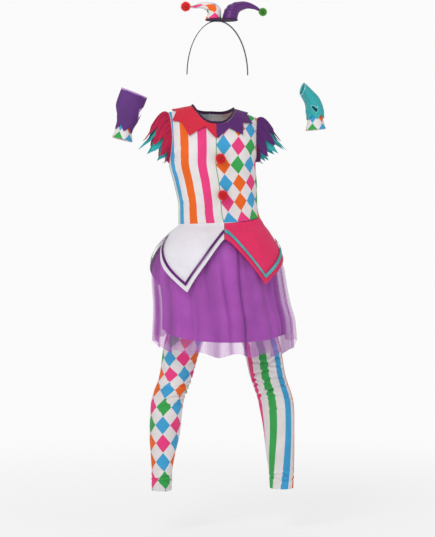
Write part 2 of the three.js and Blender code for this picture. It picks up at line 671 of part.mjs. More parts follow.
// A pompom: locks drawn out of the faces of a small round core
function pompom(name) {
  const { x, y, z, radius, colour } = POMPOMS[name];
  const centre = new THREE.Vector3(x, y, z);
  const ball = new THREE.IcosahedronGeometry(1, 1).getAttribute("position");
  const points = [];
  const keys = new Map();
  const index = (p) => {
    const key = p.toArray().map((n) => n.toFixed(4)).join();
    if (!keys.has(key)) {
      points.push(p.clone().multiplyScalar(radius * CORE_SHARE).add(centre));
      keys.set(key, points.length - 1);
    }
    return keys.get(key);
  };
  const triangles = [];
  const faces = ball.count / 3;
  for (let f = 0; f < faces; f++) {
    const corners = [0, 1, 2].map((k) => new THREE.Vector3().fromBufferAttribute(ball, 3 * f + k));
    const [a, b, c] = corners.map(index);
    if (Math.floor((f * LOCKS_EACH) / faces) === Math.floor(((f + 1) * LOCKS_EACH) / faces)) {
      triangles.push([a, b, c]);
      continue;
    }
    const tip = corners[0].clone().add(corners[1]).add(corners[2]).normalize();
    const apex = points.push(tip.multiplyScalar(radius).add(centre)) - 1;
    triangles.push([a, b, apex], [b, c, apex], [c, a, apex]);
  }
  return solid(name, colour, points, triangles);
}

const costume = new THREE.Group();
costume.name = "harlequin_costume";
costume.add(
  bodicePanel("bodice_front_left", "stripes", -1, -1),
  bodicePanel("bodice_front_right", "diamonds", 1, -1),
  bodicePanel("bodice_back_left", "stripes", -1, 1),
  bodicePanel("bodice_back_right", "diamonds", 1, 1),
  collarHalf("collar_left", "red", -1, COLLAR_LEFT),
  collarHalf("collar_right", "purple", 1, COLLAR_RIGHT),
  neckBinding(),
  sleeveLayer("sleeve_left_upper", "crimson", SLEEVES.left, "upper"),
  sleeveLayer("sleeve_left_lower", "teal", SLEEVES.left, "lower"),
  sleeveLayer("sleeve_right_upper", "purple", SLEEVES.right, "upper"),
  sleeveLayer("sleeve_right_lower", "teal", SLEEVES.right, "lower"),
  pointedPanel("skirt_panel_front_left", "white"),
  pointedPanel("skirt_panel_front_right", "pink"),
  pointedPanel("skirt_panel_back_left", "white"),
  pointedPanel("skirt_panel_back_right", "pink"),
  panelRibbon("ribbon_front_left", "purple", "skirt_panel_front_left"),
  panelRibbon("ribbon_front_right", "teal", "skirt_panel_front_right"),
  panelRibbon("ribbon_back_left", "purple", "skirt_panel_back_left"),
  panelRibbon("ribbon_back_right", "teal", "skirt_panel_back_right"),
  netSkirt(),
  underSkirt(),
  legging("legging_left", "diamonds", -1, LEG_LEFT),
  legging("legging_right", "stripes", 1, LEG_RIGHT),
  waistband(),
  glove("glove_left", "purple", GLOVE_LEFT, THUMB_HOLES.left),
  glove("glove_right", "teal", GLOVE_RIGHT, THUMB_HOLES.right),
  cuff("cuff_left", CUFF_LEFT),
  cuff("cuff_right", CUFF_RIGHT),
  horn("horn_diamonds", "diamonds", HORN_DIAMONDS),
  horn("horn_purple", "purple", HORN_PURPLE),
  hatBase(),
  headband(),
  ...Object.keys(POMPOMS).map(pompom),
);

export default costume;
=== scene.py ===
"""Harlequin costume: dress, leggings, fingerless gloves and mini jester hat, as worn.

Run as a script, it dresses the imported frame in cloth. The garment's forms are in millimetres, in
the frame's own axes, and the front faces -Y. Meshes, cut maps, prints and the stage are in metres.
"""

import math
from contextlib import contextmanager
from functools import partialmethod
from types import SimpleNamespace

import bpy
import numpy as np
from bpy.props import FloatProperty, FloatVectorProperty, IntProperty, PointerProperty
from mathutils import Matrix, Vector


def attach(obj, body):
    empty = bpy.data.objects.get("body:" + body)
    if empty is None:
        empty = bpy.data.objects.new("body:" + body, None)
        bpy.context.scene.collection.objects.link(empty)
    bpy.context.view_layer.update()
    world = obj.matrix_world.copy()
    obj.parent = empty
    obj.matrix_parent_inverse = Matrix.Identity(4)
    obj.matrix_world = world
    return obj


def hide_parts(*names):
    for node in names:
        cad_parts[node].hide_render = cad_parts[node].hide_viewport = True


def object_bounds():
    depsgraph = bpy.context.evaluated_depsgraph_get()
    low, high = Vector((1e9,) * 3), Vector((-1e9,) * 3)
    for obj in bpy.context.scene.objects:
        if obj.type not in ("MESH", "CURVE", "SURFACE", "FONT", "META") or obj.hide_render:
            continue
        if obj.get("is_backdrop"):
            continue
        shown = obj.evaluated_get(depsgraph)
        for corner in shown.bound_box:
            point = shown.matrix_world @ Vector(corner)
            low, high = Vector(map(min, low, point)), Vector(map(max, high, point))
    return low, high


bl_info = {
    "name": "Harlequin Costume",
    "version": (1, 0, 0),
    "blender": (4, 5, 0),
    "location": "3D View > Sidebar > Costume",
    "description": "Makes the cloth, prints and trims of a harlequin costume over its frame",
    "category": "Object",
}

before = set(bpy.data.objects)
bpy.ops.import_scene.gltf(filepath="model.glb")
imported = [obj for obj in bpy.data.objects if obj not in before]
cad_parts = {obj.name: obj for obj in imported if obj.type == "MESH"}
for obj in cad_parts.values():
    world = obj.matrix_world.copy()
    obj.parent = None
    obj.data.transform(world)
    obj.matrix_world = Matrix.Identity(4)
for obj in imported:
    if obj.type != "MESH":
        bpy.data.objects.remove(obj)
CAD_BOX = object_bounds()

MM = 0.001
TURN = 2 * math.pi
QUARTER = math.pi / 2
GAP = 0.3


# Tables of the garment's sections

def table(names, *rows):
    """The named columns of a table, each row one section."""
    return {name: np.array(column, float) for name, column in zip(names.split(), zip(*rows))}


def entries(names, **rows):
    """Named entries that have the same fields."""
    return {key: SimpleNamespace(**dict(zip(names.split(), row))) for key, row in rows.items()}


TORSO = table(
    "z x half deep",
    (-283, 20, 109, 77),
    (-252, 14, 103, 74),
    (-237, 13, 102, 74),
    (-180, 6.5, 107, 80),
    (-125, -2, 112, 86),
    (-95, -1, 114, 87),
    (20, -1, 119, 87),
)
ROUNDNESS = 0.8
SHOULDER_HALF = 119
WAIST = SimpleNamespace(x=20, half=109)
CHEST_Z = -95
CHEST = SimpleNamespace(x=-1, half=114, deep=87)
QUARTER_ARC = 0.153
SHOULDER_LINE = table("x z", (-125, 3), (-52, 20), (0, 26), (52, 13), (125, -11))
WAIST_SEAM = table("x z", (-95, -284), (0, -281), (60, -278), (132, -264))
ARMHOLE = table("over across", (0, 0.87), (0.35, 0.8), (0.77, 0.76), (1.0, 0.83), (1.17, 1))
ARMPIT_OVER = 1.17
NECK = SimpleNamespace(columns=0.4, across=0.265, front=0.635, back=0.38, even_below=0.6)
SHOULDER_ACROSS = 0.87
BINDING = SimpleNamespace(middle_y=-8, inward=2.1, slope=1.8, rolled=1.3, raised=1.6, tall=6.2)
# Lines of the torso along which the prints are measured: down at this across, round at this over
PRINT_LINES = SimpleNamespace(across=0.5, over=-1.2)
# Where the prints start, how deep the creases are, and how near an edge the cloth lies flat
BODICE = SimpleNamespace(
    stripe_start=-0.0198,
    diamond_start=0.0165,
    diamond_drop=-0.0847,
    creases=1.15,
    highest=0.4,
    flat_side=0.93,
    flat_waist=0.95,
    flat_middle=0.02,
    armhole_to=0.6,
    marked=1e-5,
    untrimmed=0.05,
)

COLLAR_LEFT = table(
    "column across over",
    (0, 0, -0.85),
    (2, 0.11, -0.67),
    (5, 0.34, -0.8),
    (7, 0.48, -0.54),
    (9, 0.68, -0.48),
    (11, 0.56, -0.26),
    (13, 0.65, 0.04),
    (15, 0.48, 0.32),
    (18, 0.4, 0.8),
    (21, 0.15, 0.62),
    (24, 0, 0.85),
)
COLLAR_RIGHT = table(
    "column across over",
    (0, 0, -0.85),
    (2, 0.125, -0.68),
    (5, 0.34, -0.76),
    (7, 0.35, -0.53),
    (9, 0.57, -0.49),
    (11, 0.42, -0.24),
    (13, 0.52, 0.04),
    (15, 0.42, 0.32),
    (18, 0.4, 0.8),
    (21, 0.15, 0.62),
    (24, 0, 0.85),
)
COLLAR = SimpleNamespace(columns=24, lift=3.5, tall=0.045, lifted=1.4, sewn=0.2)

SLEEVES = entries(
    "side x z along radius",
    left=(-1, -149, -93, (-0.72, -0.69), 42),
    right=(1, 146, -93, (0.74, -0.67), 41),
)
SLEEVE_LAYERS = entries(
    "inset deeper gathers fold notch below lengths",
    upper=(0, 0, 12, 2.2, 0.5, 0, (37, 30, 38, 40, 36, 34, 30, 38)),
    lower=(2.2, 2.6, 0, 0, 0.62, 1.3, (56, 44, 38, 36, 38, 44, 52)),
)
SLEEVE_CLEAR = 0.8
PUFF = SimpleNamespace(cap=62, rise=0.75, underarm=0.1, middle_z=-60, swells_to=1.6, deepens=3)
# Fine gathers at the sleeve head. spread moves them: depth, count round the sleeve, start
GATHERS = SimpleNamespace(
    head=4.6,
    underarm=0.35,
    length=0.95,
    uneven=0.35,
    sewn=0.05,
    apart_from=0.04,
    raised=0.6,
    curl=0.4,
    curls_over=(0.7, 1.3),
    tall=0.09,
    spread=((1.6, 3, 0), (0.8, 7, 0)),
)

SKIRT = table(
    "z x half deep round",
    (-640, 31, 198, 178, 1),
    (-540, 30, 192, 170, 1),
    (-489, 24, 185, 161, 1),
    (-408, 15, 179, 149, 0.97),
    (-351, 14, 158, 128, 0.9),
    (-305, 17, 127, 96, 0.83),
    (-283, 20, 109, 77, 0.8),
    (-255, 14, 103, 74, 0.8),
)
SKIRT_DROP = 0.8
NET = SimpleNamespace(
    waves=16,
    hem=-586,
    front_drop=35,
    hem_wave=6,
    inset=3.7,
    spread=((4, 3, 1), (2, 5, 0)),
    cut_round=2.2,
    ruffle_shade=2.2,
    ruffle_grows=120,
    folds_grow=70,
    fold_leans=160,
    gathers_end=60,
    gathers_at_top=0.35,
)
SLIP = SimpleNamespace(
    hem=-556,
    front_drop=27,
    inset=6.7,
    below_folds=2.2,
    clear=3,
    soft=0.22,
    cut_round=1.05,
    waist=-280,
    tall=0.29,
)
RUFFLE = SimpleNamespace(deepest=11, reach=110, uneven=0.2, swells=7)
ROWS_CLOSER_AT_TOP = 1.45
OVERSKIRT = SimpleNamespace(
    clear=4.2,
    clear_below=30,
    billow=3,
    billow_below=160,
    waves=9,
    radius=120,
    fold=0.9,
    folds=17,
    fold_below=90,
    cut_round=0.85,
    slant=0.75,
)
POINTED_PANELS = entries(
    "start_at end_at tip start low end curve",
    front_left=(0, -80, 0.41, -322, -456, -333, 1),
    front_right=(0, 88, 0.37, -322, -437, -346, 1.25),
    back_left=(-180, -80, 0.5, -330, -455, -333, 1),
    back_right=(180, 88, 0.5, -330, -455, -346, 1.1),
)
# Small gathers of the pointed panels under the waist seam
SEAM_GATHERS = SimpleNamespace(
    deep={"white": 0.5, "pink": 1.1}, count=11, above_hem=(45, 80), below_seam=(0.01, 0.08)
)
RIBBON = SimpleNamespace(width=7, from_hem=12, steep=1.35, out=2.9, cut=0.009, selvedge=0.002)

SEAT = table(
    "z x half deep",
    (-505, 24, 126, 82),
    (-450, 23, 122, 84),
    (-400, 20, 119, 82),
    (-350, 17, 110, 77),
    (-315, 18, 101, 71),
)
LEG_LEFT = table(
    "z x y half deep",
    (-975, -134, 8, 26, 28),
    (-930, -133, 8, 26.5, 29),
    (-892, -131, 9, 30.5, 34),
    (-821, -125, 10, 40, 44),
    (-749, -120, 3, 42, 46),
    (-676, -97, 0, 43, 50),
    (-606, -81, 0, 48.6, 56),
    (-560, -65, 0, 53, 62),
    (-505, -37, 0, 60.5, 70),
)
LEG_RIGHT = table(
    "z x y half deep",
    (-975, 182, 6, 31, 31),
    (-930, 181, 6, 33, 33),
    (-892, 179, 8, 36.4, 37),
    (-821, 175, 9, 40.5, 44),
    (-749, 166, 3, 46, 48),
    (-676, 143, 0, 46.8, 51),
    (-606, 129, 0, 48.5, 56),
    (-560, 112, 0, 53, 62),
    (-505, 85, 0, 60.5, 70),
)
LEG = SimpleNamespace(join=-395, crotch=-505, roundness=0.85, closed=0.99, apart=0.6, flat_seam=0.03)
# Height of the mesh's rows, closer at the knee and the ankle, where the creases are
LEG_ROWS = table("part z", (0, -316), (0.16, -505), (0.33, -640), (0.68, -768), (0.82, -905), (1, -975))
# Where the front line lies round the seat and round the leg
FRONT_LINE = SimpleNamespace(seat=0.18, leg=0.25)
LEG_PRINT = SimpleNamespace(
    diamond_tall=0.047,
    stripe_start=-0.066,
    coloured=0.47,
    spread_below=-620,
    spread=0.02,
    spread_more=0.00019,
    outer_shift=10.5,
    outer_from=(44, 62),
)
WAISTBAND = SimpleNamespace(
    top=-288, tall=27.7, half=100.6, deep=70.6, x=18, ribs=4, rib=0.5, drawn_in=3, drawn_above=-299
)

GLOVE_LEFT = table(
    "s x z tilt half deep",
    (0, -204, 55, -21.5, 35.5, 15),
    (0.45, -217, 18, -15, 36, 18),
    (0.75, -222, -10, -18, 29, 21),
    (1, -229, -32, -22, 23.5, 22.5),
    (1.35, -234, -48, -18, 25, 24),
)
CUFF_LEFT = table(
    "s x z tilt half deep",
    (0, -225, -18, -20, 20.5, 18),
    (0.35, -229.5, -34, -20, 20.5, 19.5),
    (1, -236, -66, -13.8, 27.5, 25),
)
GLOVE_RIGHT = table(
    "s x z tilt half deep",
    (0, 234.5, 70, 74, 16.5, 34),
    (0.35, 252, 48, 58, 19.3, 34),
    (0.6, 262, 31, 38, 23, 31),
    (0.85, 268, 10, 8, 24, 27),
    (1, 269, 1, 4, 23.5, 25),
    (1.35, 270, -12, 4, 24.5, 26),
)
CUFF_RIGHT = table(
    "s x z tilt half deep",
    (0, 268.5, 8, 6, 20.5, 21.5),
    (0.35, 269, -7, 4, 20.8, 22),
    (1, 270, -37, 6, 27, 26),
)
GLOVE = SimpleNamespace(
    petals=6,
    tall=0.09,
    wrist=(0.8, 0.14),
    ripples=42,
    ripple=0.45,
    palm=0.5,
    palm_to=0.35,
    drawn_in=0.3,
    purple_rim=(190, 150, 205),
    teal_rim=(150, 215, 216),
)
PETAL_SHARE = 0.3
THUMB_HOLES = entries(
    "u v half_u half_v",
    left=(0.0, 0.43, 0.1, 0.125),
    right=(0.722, 0.64, 0.052, 0.066),
)
THUMB_RADIUS = 0.011
CUFF = SimpleNamespace(
    wide=0.031, tall=0.04, start=(0.01, -0.012), flare=0.7, flares_from=0.4, drawn_in=0.3
)

HAT_Y = -12
HORN_DIAMONDS = table(
    "s x z tilt half deep",
    (0, -0.3, 245.4, 0, 20.5, 27),
    (0.3, 1.5, 264, 20, 19, 23),
    (0.52, -11, 278, 52, 13, 16),
    (0.74, -33, 280.7, 84, 8.2, 10),
    (0.9, -50, 276.6, 97, 4.6, 5.5),
    (1, -60.5, 276.3, 92, 3, 3.4),
)
HORN_PURPLE = table(
    "s x z tilt half deep",
    (0, 41.5, 245.4, 0, 20.4, 27),
    (0.3, 46.8, 265, -18, 19.5, 23),
    (0.52, 60, 277.5, -45, 15.5, 17.5),
    (0.74, 85.3, 283, -78, 10, 11.5),
    (0.9, 107, 277.8, -108, 6, 7),
    (1, 119.3, 271, -120, 3.4, 3.6),
)
HORN = SimpleNamespace(
    diamond_wide=0.03,
    diamond_tall=0.047,
    start=(0.0585, -0.003),
    front=0.25,
    ripples=44,
    ripple=0.9,
    bend=(0.42, 0.2),
    drawn_in=0.6,
    root=0.08,
    tip=0.9,
)
HAT_BASE = SimpleNamespace(x=20.8, top=244.8, half=42.5, deep=32, thick=2.5, rim=0.001)
HEADBAND = SimpleNamespace(x=10, half=80, top=242, low=102, width=12, thick=0.002, rim=0.0006)
BEVEL_FROM = math.radians(40)
POMPOMS = entries(
    "place radius pressed colour",
    pompom_upper=((7.8, -98.5, -118), 12.6, 2.2, "red"),
    pompom_lower=((15, -88.9, -210.6), 12.6, 2.2, "red"),
    horn_ball_red=((-72.3, HAT_Y, 276.8), 12.2, 0, "red"),
    horn_ball_green=((128.6, HAT_Y, 266.2), 10.4, 0, "green"),
)
# Stations of a lock of yarn: share of its length, thickness in millimetres, tone. The tone darkens
# towards the root, and the core is darker still: painted shade deep in the pompom
YARN = SimpleNamespace(
    seed=40,
    scatter=0.05,
    shortest=0.86,
    lean=0.11,
    darkest=0.5,
    core=0.62,
    core_shade=0.5,
    dark=(0.72,),
    light=(1.25, 0.015),
    stations=((0.45, 0.62, 0.6), (0.8, 0.7, 0.9), (1.0, 0.25, 1.0)),
)
# Thickness of the cloths that aren't of the jersey's own, in millimetres
WALLS = {"sleeve": 0.7, "ribbon": 0.5, "slip": 0.6, "waistband": 1.4}

# The stage, in metres. Each lamp takes a part of one of the stage's settings
FLOOR = SimpleNamespace(
    z=-1.09, size=60, colour=(0.94, 0.94, 0.94), bright_from=0.4, bright_at=2.4, least=0.55
)
LAMPS = entries(
    "place wide setting part",
    key=((-1.6, -2.4, 1.7), 1.8, "key", 1),
    fill=((2.2, -2.2, 0.6), 2.2, "fill", 1),
    top=((0.2, 0.6, 2.2), 2.0, "fill", 0.7),
    back=((-0.6, 2.6, 0.9), 1.8, "fill", 0.6),
)
LIT_PLACE = (0.0, 0.0, -0.4)
# The photograph's frame: its width at the costume, its pixels and the middle of its view
PHOTO = SimpleNamespace(wide=1.131, columns=435, rows=537, middle_x=0.0117, middle_z=-0.399, sensor=36)

# Creases placed one by one. s runs round the cloth from the front line, to the right of a viewer
BODICE_CREASES = table(
    "s z turn long wide deep",
    (-96, -96, 38, 26, 5.5, 1.5),
    (-84, -118, 22, 30, 5, 1.1),
    (-104, -150, 64, 22, 6, 0.9),
    (-70, -214, 10, 34, 6, 1.2),
    (-98, -228, -12, 26, 5, 1.3),
    (-36, -244, 4, 36, 6.5, 1.0),
    (-20, -176, -14, 26, 8, 0.7),
    (98, -98, -40, 26, 5.5, 1.5),
    (80, -122, -24, 30, 5, 1.0),
    (102, -156, -62, 24, 6, 1.0),
    (74, -208, -8, 36, 6, 1.2),
    (96, -226, 14, 26, 5, 1.4),
    (44, -240, -5, 34, 6.5, 1.0),
    (36, -160, 16, 24, 8, 0.7),
)
LEG_LEFT_CREASES = table(
    "s z turn long wide deep",
    (34, -640, 26, 42, 5.0, 2.2),
    (52, -664, 18, 36, 4.2, 3.0),
    (62, -686, 6, 34, 3.6, 3.6),
    (46, -700, -10, 38, 3.6, 3.2),
    (60, -714, 5, 32, 3.4, 3.8),
    (22, -726, 7, 50, 3.6, 2.8),
    (56, -738, -12, 30, 3.4, 3.2),
    (-10, -708, -14, 32, 4.0, 2.0),
    (-30, -692, 14, 28, 4.2, 1.6),
    (10, -747, 9, 38, 3.8, 1.9),
    (-22, -770, 14, 30, 6, 1.0),
    (104, -690, 6, 44, 4.2, 2.6),
    (96, -712, -8, 46, 4, 3.0),
    (100, -738, 8, 40, 4.2, 2.4),
    (-10, -921, -10, 26, 3.6, 1.8),
    (10, -936, 8, 30, 3.2, 2.6),
    (16, -949, -9, 28, 3.2, 2.4),
    (-24, -944, 12, 24, 3.4, 1.8),
    (-64, -936, -6, 26, 4, 2.0),
    (44, -960, 10, 26, 3.4, 1.8),
    (40, -600, 28, 34, 8, 1.2),
    (-30, -628, -20, 36, 7, 1.2),
)
LEG_RIGHT_CREASES = table(
    "s z turn long wide deep",
    (26, -612, 24, 30, 5.0, 2.0),
    (22, -632, 22, 34, 3.8, 3.4),
    (-14, -640, -6, 34, 4.2, 2.2),
    (30, -650, -12, 28, 3.6, 2.6),
    (-22, -664, 14, 36, 3.6, 3.0),
    (10, -680, 7, 48, 3.6, 2.6),
    (-30, -690, -16, 32, 3.6, 3.0),
    (16, -703, 12, 44, 3.4, 3.2),
    (-24, -716, 16, 36, 3.4, 3.4),
    (14, -728, -6, 46, 3.6, 2.6),
    (-58, -700, 8, 30, 4, 2.8),
    (-60, -728, -8, 32, 4, 2.6),
    (2, -762, -8, 36, 5, 1.3),
    (-104, -688, -6, 44, 4.2, 2.6),
    (-98, -712, 8, 46, 4, 3.0),
    (-100, -738, -8, 40, 4.2, 2.4),
    (12, -922, 12, 28, 3.6, 1.8),
    (2, -938, -10, 34, 3.2, 2.8),
    (14, -952, 8, 30, 3.2, 2.2),
    (-34, -944, -8, 26, 3.6, 2.0),
    (60, -936, 6, 28, 4, 1.8),
    (-40, -602, -28, 34, 8, 1.2),
)
# How a crease is shaped: its bow, the low ridge beside it, and how far it shifts the print
CREASE = SimpleNamespace(bow=0.006, bows_from=30, ridge=0.45, ridge_wide=2.2, takes_up=1.6)
# Narrow deep folds of the net, by their angle round the skirt
NET_FOLDS = table(
    "degrees wide deep lean",
    (-4, 2.0, 5.5, 1.5),
    (13, 2.2, 6, -1.0),
    (-31, 3.4, 4, 2.0),
    (-47, 2.0, 3, -1.0),
    (-58, 4.2, 4, -1.5),
    (-17, 5.0, 3.5, 1.0),
    (27, 4.6, 4, -1.5),
    (38, 2.4, 4.5, 2.5),
    (52, 4.4, 3.5, 1.5),
    (64, 2.6, 4.5, -2.0),
    (104, 3.6, 5, 1.5),
    (139, 2.2, 6, -2.0),
    (155, 4.8, 4, 1.0),
    (171, 2.0, 6, 1.0),
    (-163, 3.4, 5, -1.0),
    (-128, 2.2, 6, 2.0),
    (-110, 4.6, 4, -1.5),
    (-96, 3.0, 5, 1.0),
)
# Fine gathers of the net. kept is the share of their depth that reaches the hem
NET_GATHERS = table(
    "deep count sway sways start drift kept",
    (1.5, 41, 2.2, 3, 0, 90, 1),
    (0.9, 73, 3, 5, 1, -60, 0.4),
)

# Diamond colours by row from the top, charted: Blue, Orange, Pink, Green
BODICE_CHART = ("BPGO", "OGBP", "BOPG", "POBG", "BPGO", "POBO")
LEG_CHART = ("BPOG", "PBPO", "BOGO", "GBOP", "BPOG", "PBGO", "BOGO", "GOBP")
CUFF_CHART = ("OGPB", "BPOG", "GOBP")
HORN_CHART = ("PGBO", "OBPG", "PGOB")
# Rows and columns of the leg's diamonds drift with its bend
LEG_DIAMOND_ROWS = table(
    "z row shift",
    (-975, 7.6, 9),
    (-946.5, 7, 7.4),
    (-899, 6, -1),
    (-849, 5, -6),
    (-802, 4, -12),
    (-754.5, 3, -12.6),
    (-710, 2, -16.3),
    (-670.5, 1, -22),
    (-628.5, 0, -38),
    (-581, -1, -42),
    (-316, -6.9, -48),
)


# Shapes of the garment

def mix(a, b, t):
    return a + (b - a) * t


def ease(t):
    return t * t * (3 - 2 * t)


def share(value, low=0.0, high=1.0):
    """How far a value is from low to high, kept from 0 to 1."""
    return np.clip((value - low) / (high - low), 0, 1)


def hump(value, middle, wide):
    return np.exp(-(((value - middle) / wide) ** 2))


def signed_power(value, power):
    return np.sign(value) * np.abs(value) ** power


def crest(phase):
    """A wave from 0 to 1."""
    return 0.5 + 0.5 * np.cos(phase)


def sway(angle, waves):
    """Slow waves together, each its depth, its count in a turn and its start."""
    return sum(deep * np.sin(count * angle + start) for deep, count, start in waves)


def rows_of(rows):
    """The rows of a table, one by one."""
    for values in zip(*rows.values()):
        yield SimpleNamespace(**dict(zip(rows, values)))


def spots(x, y, z):
    return np.stack(np.broadcast_arrays(x, y, z), axis=-1).astype(float)


def unit(vectors):
    return vectors / np.maximum(np.linalg.norm(vectors, axis=-1, keepdims=True), 1e-9)


def read(rows, key, value):
    """Smooth reading of a table, without overshoot. Its key runs upward."""
    keys = rows[key]
    value = np.asarray(value, float)
    k = np.clip(np.searchsorted(keys, value) - 1, 0, len(keys) - 2)
    span = keys[k + 1] - keys[k]
    t = np.clip((value - keys[k]) / span, 0, 1)
    found = {}
    for name, column in rows.items():
        step = np.diff(column) / np.diff(keys)
        before, after = step[:-1], step[1:]
        total = np.where(before * after > 0, before + after, 1)
        inner = np.where(before * after > 0, 2 * before * after / total, 0)
        slope = np.concatenate([step[:1], inner, step[-1:]])
        found[name] = (
            mix(column[k], column[k + 1], ease(t))
            + t * (1 - t) ** 2 * span * slope[k]
            + t * t * (t - 1) * span * slope[k + 1]
        )
    return SimpleNamespace(**found)


def torso_point(side, across, over):
    """A point on the bodice. over is -2 at the front waist, 0 on the shoulder, 2 at the back waist."""
    sine = signed_power(np.sin(across * QUARTER), ROUNDNESS)
    cosine = signed_power(np.cos(across * QUARTER), ROUNDNESS)
    face = np.where(over < 0, -1.0, 1.0)
    far = np.abs(over)
    upper = np.minimum(far, 1)
    x = CHEST.x + side * mix(SHOULDER_HALF, CHEST.half, upper) * sine
    z = mix(CHEST_Z, read(SHOULDER_LINE, "x", x).z, np.cos(upper * QUARTER))
    y = face * CHEST.deep * cosine * np.abs(np.sin(upper * QUARTER)) ** ROUNDNESS
    low_z = read(WAIST_SEAM, "x", WAIST.x + side * WAIST.half * sine).z
    lower_z = mix(CHEST_Z, low_z, np.maximum(far - 1, 0))
    section = read(TORSO, "z", lower_z)
    below = far > 1
    return spots(
        np.where(below, section.x + side * section.half * sine, x),
        np.where(below, face * section.deep * cosine, y),
        np.where(below, lower_z, z),
    )


def torso_normal(side, across, over):
    step = 0.02
    round_it = torso_point(side, across + step, over) - torso_point(side, across - step, over)
    down = torso_point(side, across, over + step) - torso_point(side, across, over - step)
    return unit(np.cross(round_it, down)) * np.asarray(side)[..., None]


def panel_top(u, face):
    """The top edge of a bodice panel: round the neck, then along the shoulder."""
    drop = NECK.front if face < 0 else NECK.back
    turn = u / NECK.columns * QUARTER
    along = (u - NECK.columns) / (1 - NECK.columns)
    in_neck = u < NECK.columns
    across = np.where(in_neck, NECK.across * np.sin(turn), mix(NECK.across, SHOULDER_ACROSS, along))
    return across, np.where(in_neck, drop * np.cos(turn), 0)


def bodice_place(u, v, face):
    """Where a point of a bodice panel lies on the torso."""
    top_across, top_over = panel_top(u, face)
    at_edge = read(ARMHOLE, "over", 2 * v).across
    part = mix(top_across / SHOULDER_ACROSS, u, ease(share(v, 0, NECK.even_below)))
    return at_edge * part, face * mix(top_over, 2, v)


def bodice_point(side, face):
    def point(u, v):
        p = torso_point(side, *bodice_place(u, v, face))
        p[..., 0] += side * GAP / 2
        p[..., 1] += face * GAP / 2
        return p

    return point


def length_along(line):
    """How far each point of a line lies from its first point."""
    return np.concatenate([[0], np.cumsum(np.linalg.norm(np.diff(line, axis=0), axis=1))])


def drop_over_shoulder(over):
    """How far down the cloth a point lies from the shoulder line, in millimetres."""
    steps = np.linspace(0, 2, 81)
    line = torso_point(-1, np.full_like(steps, PRINT_LINES.across), -steps)
    return np.interp(np.abs(over), steps, length_along(line))


CHEST_RUN = float(drop_over_shoulder(1.0)) + CHEST_Z


def run_across(across):
    """Distance round the bodice's cloth from the centre line, in millimetres."""
    steps = np.linspace(0, 1, 121)
    run = length_along(torso_point(-1, steps, np.full_like(steps, PRINT_LINES.over))[:, :2])
    return np.interp(across, steps, run * QUARTER_ARC / MM / run[-1])


def neckline(turn):
    angle = turn * math.pi
    drop = np.where(turn < 0.5, NECK.front, NECK.back)
    return NECK.across * np.sin(angle), -drop * np.cos(angle)


def collar_place(outline, u, v):
    spot = np.clip(u, 0, 1) * COLLAR.columns
    across = np.interp(spot, outline["column"], outline["across"])
    over = np.interp(spot, outline["column"], outline["over"])
    neck_across, neck_over = neckline(np.clip(u, 0, 1))
    return mix(neck_across, across, v), mix(neck_over, over, v)


def collar_point(side, outline):
    def point(u, v):
        across, over = collar_place(outline, u, v)
        p = torso_point(side, across, over)
        p[..., 0] += side * GAP
        return p + torso_normal(side, across, over) * COLLAR.lift

    return point


def binding_point(u, v):
    turn = np.where(u < 0.5, 2 * u, 2 - 2 * u)
    side = np.where(u < 0.5, 1.0, -1.0)
    p = torso_point(side, *neckline(turn))
    inward = unit(spots(CHEST.x, BINDING.middle_y, p[..., 2]) - p)
    deep = BINDING.inward + v * BINDING.slope - BINDING.rolled * np.sin(v * math.pi)
    p = p + inward * deep[..., None]
    p[..., 2] += BINDING.raised + BINDING.tall * v
    return p


def sleeve_along(layer, turn, v):
    count = len(layer.lengths)
    petal = turn * count
    length = np.array(layer.lengths, float)[np.floor(petal).astype(int) % count]
    tip = 1 - np.abs(2 * (petal % 1) - 1)
    return v * (layer.notch + tip * length / PUFF.cap)


def sleeve_point(arm, layer):
    along_x, along_z = arm.along
    direction = unit(np.array([along_x, 0, along_z]))
    up = np.array([-arm.side * direction[2], 0, arm.side * direction[0]])
    up = up if up[2] > 0 else -up
    centre = np.array([arm.x, 0, arm.z], float)
    radius = arm.radius - layer.inset - layer.deeper

    def point(u, v):
        turn = u % 1
        angle = turn * TURN
        over = np.where(turn < 0.5, -ARMPIT_OVER * turn * 2, ARMPIT_OVER * (1 - turn) * 2)
        start = torso_point(arm.side, read(ARMHOLE, "over", np.abs(over)).across, over)
        inward = spots(0, -start[..., 1], PUFF.middle_z - start[..., 2])
        start[..., 0] += arm.side * SLEEVE_CLEAR
        start = start + unit(inward) * layer.inset
        radial = up * np.cos(angle)[..., None]
        radial[..., 1] = -np.sin(angle)
        end = centre + radial * radius
        along = sleeve_along(layer, turn, v)
        cap = crest(angle)
        pull = (PUFF.cap * mix(PUFF.underarm, 1, cap))[..., None]
        leave = spots(arm.side, 0, PUFF.rise * cap) * pull
        arrive = direction * pull
        t = np.minimum(along, 1)[..., None]
        p = mix(start, end, ease(t)) + leave * t * (1 - t) ** 2 + arrive * t * t * (t - 1)
        p = p + direction * (np.maximum(along - 1, 0) * PUFF.cap)[..., None]
        swell = np.sin(np.clip(along, 0, PUFF.swells_to) * QUARTER) * cap * layer.fold
        part = t[..., 0]
        under = np.sin(np.clip(PUFF.deepens * part, 0, 1) * QUARTER) * (1 - ease(part))
        deeper = layer.deeper * under
        lift = swell * (1 + np.cos(layer.gathers * angle)) - deeper
        return p + radial * lift[..., None]

    return point


def skirt_point(degrees, z, out):
    ring = read(SKIRT, "z", z)
    angle = np.radians(degrees)
    sine = signed_power(np.sin(angle), ring.round)
    cosine = signed_power(np.cos(angle), ring.round)
    return spots(ring.x + (ring.half + out) * sine, -(ring.deep + out) * cosine, z)


def seam_z(degrees):
    x = WAIST.x + WAIST.half * np.sin(np.radians(degrees))
    return read(WAIST_SEAM, "x", x).z - SKIRT_DROP


def ruffle_depth(drop):
    return RUFFLE.deepest * (1 - np.exp(-np.maximum(drop, 0) / RUFFLE.reach))


